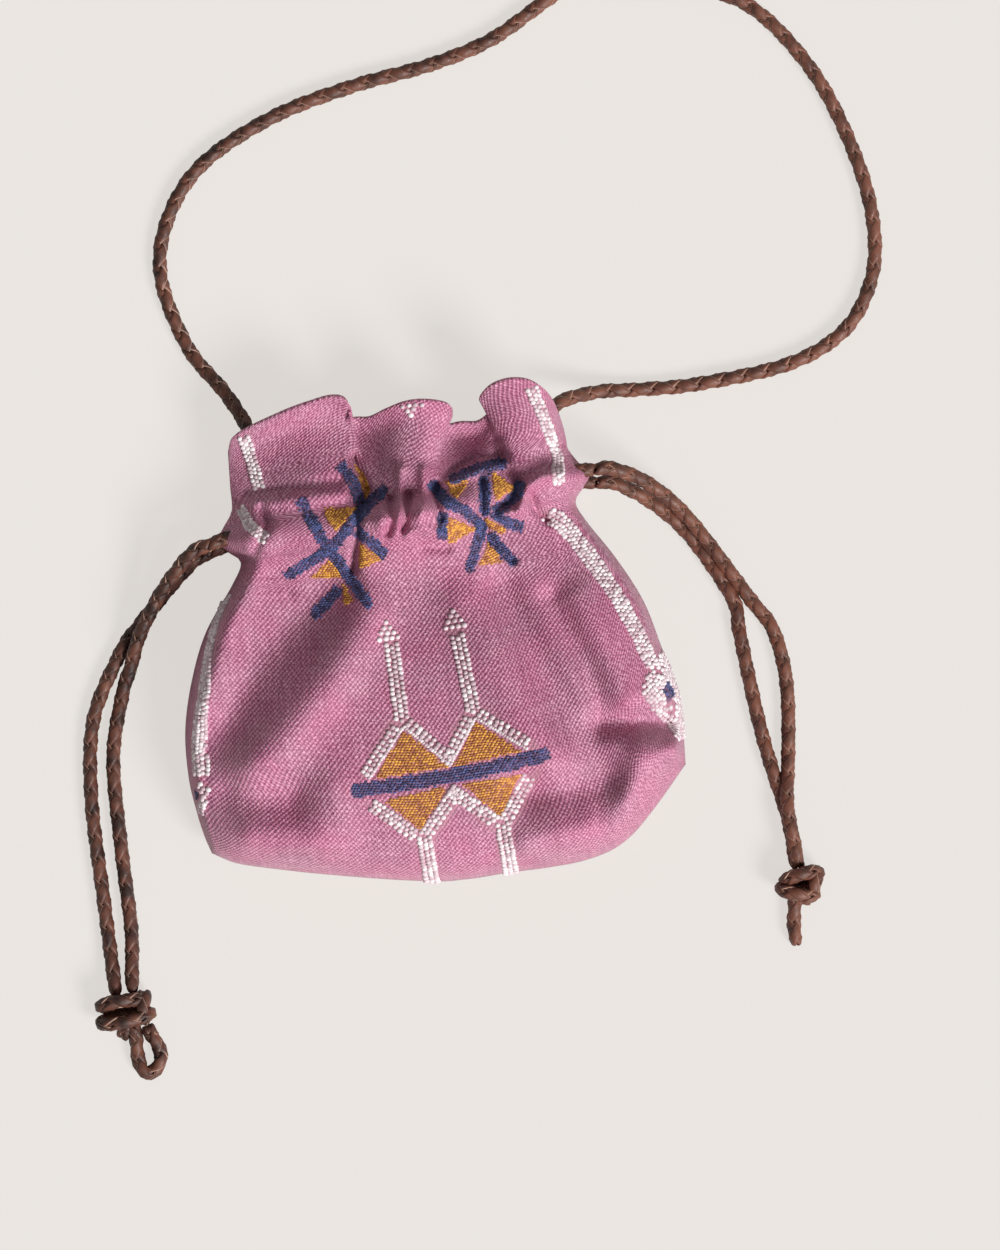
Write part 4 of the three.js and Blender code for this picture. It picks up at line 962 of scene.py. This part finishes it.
# Small rounded stitches set on the cloth, one mesh for each colour
def stitches(name, places, u, v, half, height, material, slot, nodes, jitter=0.12):
    n = np.cross(u, v)
    n /= np.linalg.norm(n, axis=1)[:, None]
    u = u / np.linalg.norm(u, axis=1)[:, None]
    v = np.cross(n, u)
    count = len(places)
    places = places + u * RNG.normal(0, jitter, (count, 1)) + v * RNG.normal(0, jitter, (count, 1))
    size = RNG.uniform(0.85, 1.15, (count, 1))
    angle = 2 * np.pi * np.arange(NUB_SIDES) / NUB_SIDES
    rings = []
    for scale, lift in ((1.0, -0.12), (0.86, 0.62 * height), (0.45, 0.95 * height)):
        for a in angle:
            rings.append(places + u * (half[0] * scale * math.cos(a)) * size
                         + v * (half[1] * scale * math.sin(a)) * size + n * lift)
    rings.append(places + n * height)
    vertices = np.stack(rings, axis=1) * MM
    per = vertices.shape[1]
    local = []
    for ring in range(2):
        for k in range(NUB_SIDES):
            m = (k + 1) % NUB_SIDES
            low, high = ring * NUB_SIDES, (ring + 1) * NUB_SIDES
            local.append((low + k, low + m, high + m, high + k))
    caps = [(2 * NUB_SIDES + k, 2 * NUB_SIDES + (k + 1) % NUB_SIDES, 3 * NUB_SIDES) for k in range(NUB_SIDES)]
    faces = []
    for i in range(count):
        faces += [tuple(per * i + w for w in f) for f in local + caps]
    obj = mesh_object(name, vertices.reshape(-1, 3), faces, material)
    add_values(obj, "tone", np.repeat(RNG.uniform(0, 1, count), per))
    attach(obj, "root")
    if nodes:
        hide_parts(*nodes)
    return obj


# Place on the cloth under a point of the plan that the camera sees
class Finder:
    def __init__(self, p):
        self.p = p
        self.x, self.y = seen_plan(p)
        self.rise = np.gradient(p, axis=0)
        self.side = np.gradient(p, axis=1)
        self.slopes = [np.gradient(self.x, axis=0), np.gradient(self.x, axis=1),
                       np.gradient(self.y, axis=0), np.gradient(self.y, axis=1)]
        self.tree = KDTree(p.shape[0] * p.shape[1])
        for i, (px, py) in enumerate(zip(self.x.ravel(), self.y.ravel())):
            self.tree.insert((px, py, 0.0), i)
        self.tree.balance()
        self.normals = surface_normals(p)
        self.solid = KDTree(p.shape[0] * p.shape[1])
        for i, q in enumerate(p.reshape(-1, 3)):
            self.solid.insert(q, i)
        self.solid.balance()

    # Stitches at even steps along the cloth itself, so that a steep side carries as many as a flat one
    def along(self, line, offsets, step):
        p = np.array(line, float)
        s = np.r_[0, np.cumsum(np.hypot(*np.diff(p, axis=0).T))]
        at = np.linspace(0, s[-1], int(s[-1] / 0.2) + 2)
        centre = self.places(list(zip(np.interp(at, s, p[:, 0]), np.interp(at, s, p[:, 1]))))[0]
        run = np.r_[0, np.cumsum(np.linalg.norm(np.diff(centre, axis=0), axis=1))]
        found = []
        for i, offset in enumerate(offsets):
            for d in np.arange(0.5 * step if i % 2 else 0.0, run[-1], step):
                here, behind, ahead = [
                    np.array([np.interp(np.clip(d + e, 0, run[-1]), run, centre[:, k]) for k in range(3)])
                    for e in (0, -TANGENT_REACH, TANGENT_REACH)
                ]
                k = np.unravel_index(self.solid.find(here)[1], self.x.shape)
                across = np.cross(self.normals[k], ahead - behind)
                spot = here + offset * across / np.linalg.norm(across)
                k = np.unravel_index(self.solid.find(spot)[1], self.x.shape)
                spot = spot - self.normals[k] * np.dot(spot - self.p[k], self.normals[k])
                found.append((spot, self.side[k], self.rise[k]))
        return [np.array(v) for v in zip(*found)]

    def places(self, points):
        found = []
        for qx, qy in points:
            near = self.tree.find_n((qx, qy, 0.0), 6)
            if near[0][2] > 1.4:
                continue
            picks = [np.unravel_index(i, self.x.shape) for _, i, d in near if d < near[0][2] + 0.8]
            at = max(picks, key=lambda k: self.p[k][2])
            xr, xs, yr, ys = [g[at] for g in self.slopes]
            det = xr * ys - xs * yr
            if abs(det) < 1e-3:
                continue
            dx, dy = qx - self.x[at], qy - self.y[at]
            a = np.clip((dx * ys - xs * dy) / det, -1.5, 1.5)
            b = np.clip((xr * dy - dx * yr) / det, -1.5, 1.5)
            found.append((self.p[at] + a * self.rise[at] + b * self.side[at], self.side[at], self.rise[at]))
        return [np.array(v) for v in zip(*found)]


# Points beside a line at even steps, one row for each offset, every second row half a step on
def ladder(line, offsets, step, from_end=0.0):
    p = np.array(line, float)
    s = np.r_[0, np.cumsum(np.hypot(*np.diff(p, axis=0).T))]
    out = []
    for i, offset in enumerate(offsets):
        at = np.arange(from_end + (0.5 * step if i % 2 else 0.0), s[-1] - from_end + 1e-6, step)
        x, y = np.interp(at, s, p[:, 0]), np.interp(at, s, p[:, 1])
        ahead = np.minimum(at + 0.5, s[-1])
        behind = np.maximum(at - 0.5, 0)
        tx = np.interp(ahead, s, p[:, 0]) - np.interp(behind, s, p[:, 0])
        ty = np.interp(ahead, s, p[:, 1]) - np.interp(behind, s, p[:, 1])
        long = np.hypot(tx, ty)
        out += list(zip(x - offset * ty / long, y + offset * tx / long))
    return out


STRIPE_OFFSETS = (-1.9, 0.0, 1.9)
STRIPES = [
    [(-8.9, -1.0), (-10.1, -28.6)], [(14.8, -2.2), (15.6, -30.2)],
    [(-9.8, -70.8), (-9.9, -90.6)], [(18.7, -71.2), (18.4, -91.6)],
]
TIPS = [(-9.5, 7.5), (14.7, 7.4)]
TIP_STITCHES = [
    (0, -0.3), (-1.1, -2.1), (1.1, -2.2), (-2.3, -3.9), (0, -4.0), (2.3, -4.1), (-3.4, -5.8), (-1.2, -5.9),
    (1.1, -6.1), (3.3, -6.0),
]
TAB_STITCHES = [(10.2, 82.2), (12.5, 82.1), (14.8, 81.8), (17.0, 81.2), (11.5, 80.4), (13.7, 80.2), (12.8, 78.6)]
TOOTH_STEP = 2.15
UPPER_ZIGZAG = [(-25.0, -46.6), (-10.0, -30.9), (4.0, -47.4), (15.9, -32.3), (32.0, -46.6)]
LOWER_ZIGZAG = [(-24.5, -54.6), (-10.9, -68.6), (4.0, -54.2), (18.1, -68.8), (29.5, -54.6)]
UPPER_ARMS = list(zip(UPPER_ZIGZAG, UPPER_ZIGZAG[1:]))
LOWER_ARMS = list(zip(LOWER_ZIGZAG, LOWER_ZIGZAG[1:]))
white_points = []
for tx, ty in TIPS:
    white_points += [(tx + dx, ty + dy) for dx, dy in TIP_STITCHES]
white_points += TAB_STITCHES
for arm in UPPER_ARMS:
    white_points += ladder(arm, (1.75,), TOOTH_STEP, 0.5) + ladder(arm, (3.5,), TOOTH_STEP, 0.5)
for arm in LOWER_ARMS:
    white_points += ladder(arm, (-0.3, -2.0), 1.75, 0.2) + ladder(arm, (-3.7,), TOOTH_STEP, 0.5)
finder = Finder(front)
runs = [finder.along(line, STRIPE_OFFSETS, 1.75) for line in STRIPES]
for line, width, count in WHITE_STROKES:
    runs.append(finder.along(line, np.linspace(-0.34, 0.34, count) * width, 1.6))
across, up = thread_measure(front)
places, u, v = lattice_places(front, across, up, 1.9, 1.7)
x, y = seen_plan(places)
patch = np.zeros(x.shape, bool)
for shape in WHITE_PATCHES[:2]:
    patch |= inside(shape, x, y)
patch &= ~in_blue(x, y)
groups = [finder.places(white_points), (places[patch], u[patch], v[patch]), *runs]
white_places = [np.vstack(part) for part in zip(*groups)]
WHITE_NODES = [
    "diamond_upper_outline", "diamond_lower_outline", "left_side_stripe", "right_side_stripe", "left_side_diamond",
    "right_side_diamond", "left_collar_stripe", "right_collar_stripe", "middle_tab_mark",
]
PEARL, PEARL_HEIGHT = (1.0, 0.92), 0.75
FLAT_STITCH, FLAT_HEIGHT = (0.6, 0.44), 0.36
stitches("white_stitches", *white_places, PEARL, PEARL_HEIGHT, WHITE, "white_yarn", WHITE_NODES)
line_points = [q for arm in UPPER_ARMS for q in ladder(arm, (0.35,), 1.0)]
stitches("white_outline", *finder.places(line_points), (0.72, 0.66), 0.6, WHITE, "white_yarn", [], 0.05)
places, u, v = lattice_places(front, across, up, 1.2, 0.92)
x, y = seen_plan(places)
facing = np.cross(u, v)[:, 2] > 0.02
keep = in_orange(x, y) & facing
ORANGE_NODES = [f"diamond_field_{i}" for i in range(1, 5)] + [f"left_cross_field_{i}" for i in range(1, 5)]
ORANGE_NODES += [f"right_cross_field_{i}" for i in range(1, 6)]
stitches("orange_stitches", places[keep], u[keep], v[keep], FLAT_STITCH, FLAT_HEIGHT, ORANGE, "orange_yarn",
         ORANGE_NODES, 0.06)
keep = in_blue(x, y, RNG.normal(0.15, 0.22, x.shape)) & facing
BLUE_NODES = ["diamond_bar", "left_side_dot", "right_side_dot"] + [f"left_cross_{i}" for i in range(1, 5)]
BLUE_NODES += [f"right_cross_{i}" for i in range(1, 4)]
stitches("blue_stitches", places[keep], u[keep], v[keep], FLAT_STITCH, FLAT_HEIGHT, BLUE, "blue_yarn",
         BLUE_NODES, 0.06)

# The cloth under the yarn takes its tint
x, y = seen_plan(front)
for (name, _), pattern in zip(UNDER_TINTS, (in_orange, in_blue, in_white)):
    hit = pattern(x, y)
    add_values(front_cloth, name, np.r_[hit.ravel(), np.zeros(hit.size)])


# Light and floor: part of the floor's tone is its own for the camera, so the shadow stays faint
def floor_material():
    material, tree, shader = new_material("pale_floor")
    place = node(tree, "ShaderNodeTexCoord").outputs["Object"]
    cloudy = noise(tree, place, 3.0, 2.0)
    colour = blend_colours(tree, cloudy, (0.80, 0.765, 0.73), (0.82, 0.785, 0.75))
    tree.links.new(colour, shader.inputs["Base Color"])
    shader.inputs["Roughness"].default_value = 0.9
    shader.inputs["Specular IOR Level"].default_value = 0.1
    own = node(tree, "ShaderNodeEmission", {"Color": (0.812, 0.773, 0.737, 1.0), "Strength": 1.0})
    camera_ray = node(tree, "ShaderNodeLightPath").outputs["Is Camera Ray"]
    part = math_node(tree, "MULTIPLY", camera_ray, 0.84)
    both = node(tree, "ShaderNodeMixShader", {0: part, 1: shader.outputs[0], 2: own.outputs[0]})
    out = next(n for n in tree.nodes if n.type == "OUTPUT_MATERIAL")
    tree.links.new(both.outputs[0], out.inputs["Surface"])
    return material


FLOOR_HALF = 3.0
corners = np.array([(-1, -1, 0), (1, -1, 0), (1, 1, 0), (-1, 1, 0)]) * FLOOR_HALF
floor = mesh_object("floor", corners, [[0, 1, 2, 3]], floor_material(), smooth=False)
floor.location = (0, 0, -0.0002)

WORLD_LIGHT = 0.24
world = bpy.data.worlds.new("studio")
world.use_nodes = True
tree = world.node_tree
tree.nodes["Background"].inputs[0].default_value = (1.0, 0.99, 0.98, 1.0)
tree.nodes["Background"].inputs[1].default_value = WORLD_LIGHT
pale = node(tree, "ShaderNodeBackground", {"Color": (0.83, 0.791, 0.753, 1.0), "Strength": 1.0})
seen = node(tree, "ShaderNodeLightPath").outputs["Is Camera Ray"]
sky = node(tree, "ShaderNodeMixShader", {0: seen, 1: tree.nodes["Background"].outputs[0], 2: pale.outputs[0]})
tree.links.new(sky.outputs[0], tree.nodes["World Output"].inputs["Surface"])
bpy.context.scene.world = world
bpy.context.scene.view_settings.view_transform = "Standard"


def sun(name, strength, softness, from_image, height):
    data = bpy.data.lights.new(name, "SUN")
    data.energy = strength
    data.angle = math.radians(softness)
    obj = bpy.data.objects.new(name, data)
    right, up = from_image
    c, s = math.cos(VIEW_TURN), math.sin(VIEW_TURN)
    x, y = right * c + up * s, -right * s + up * c
    obj.rotation_euler = (math.acos(height), 0.0, math.atan2(y, x) + math.pi / 2)
    bpy.context.scene.collection.objects.link(obj)
    return obj


sun("key", 4.2, 22, (1.0, -0.95), math.sin(math.radians(41)))
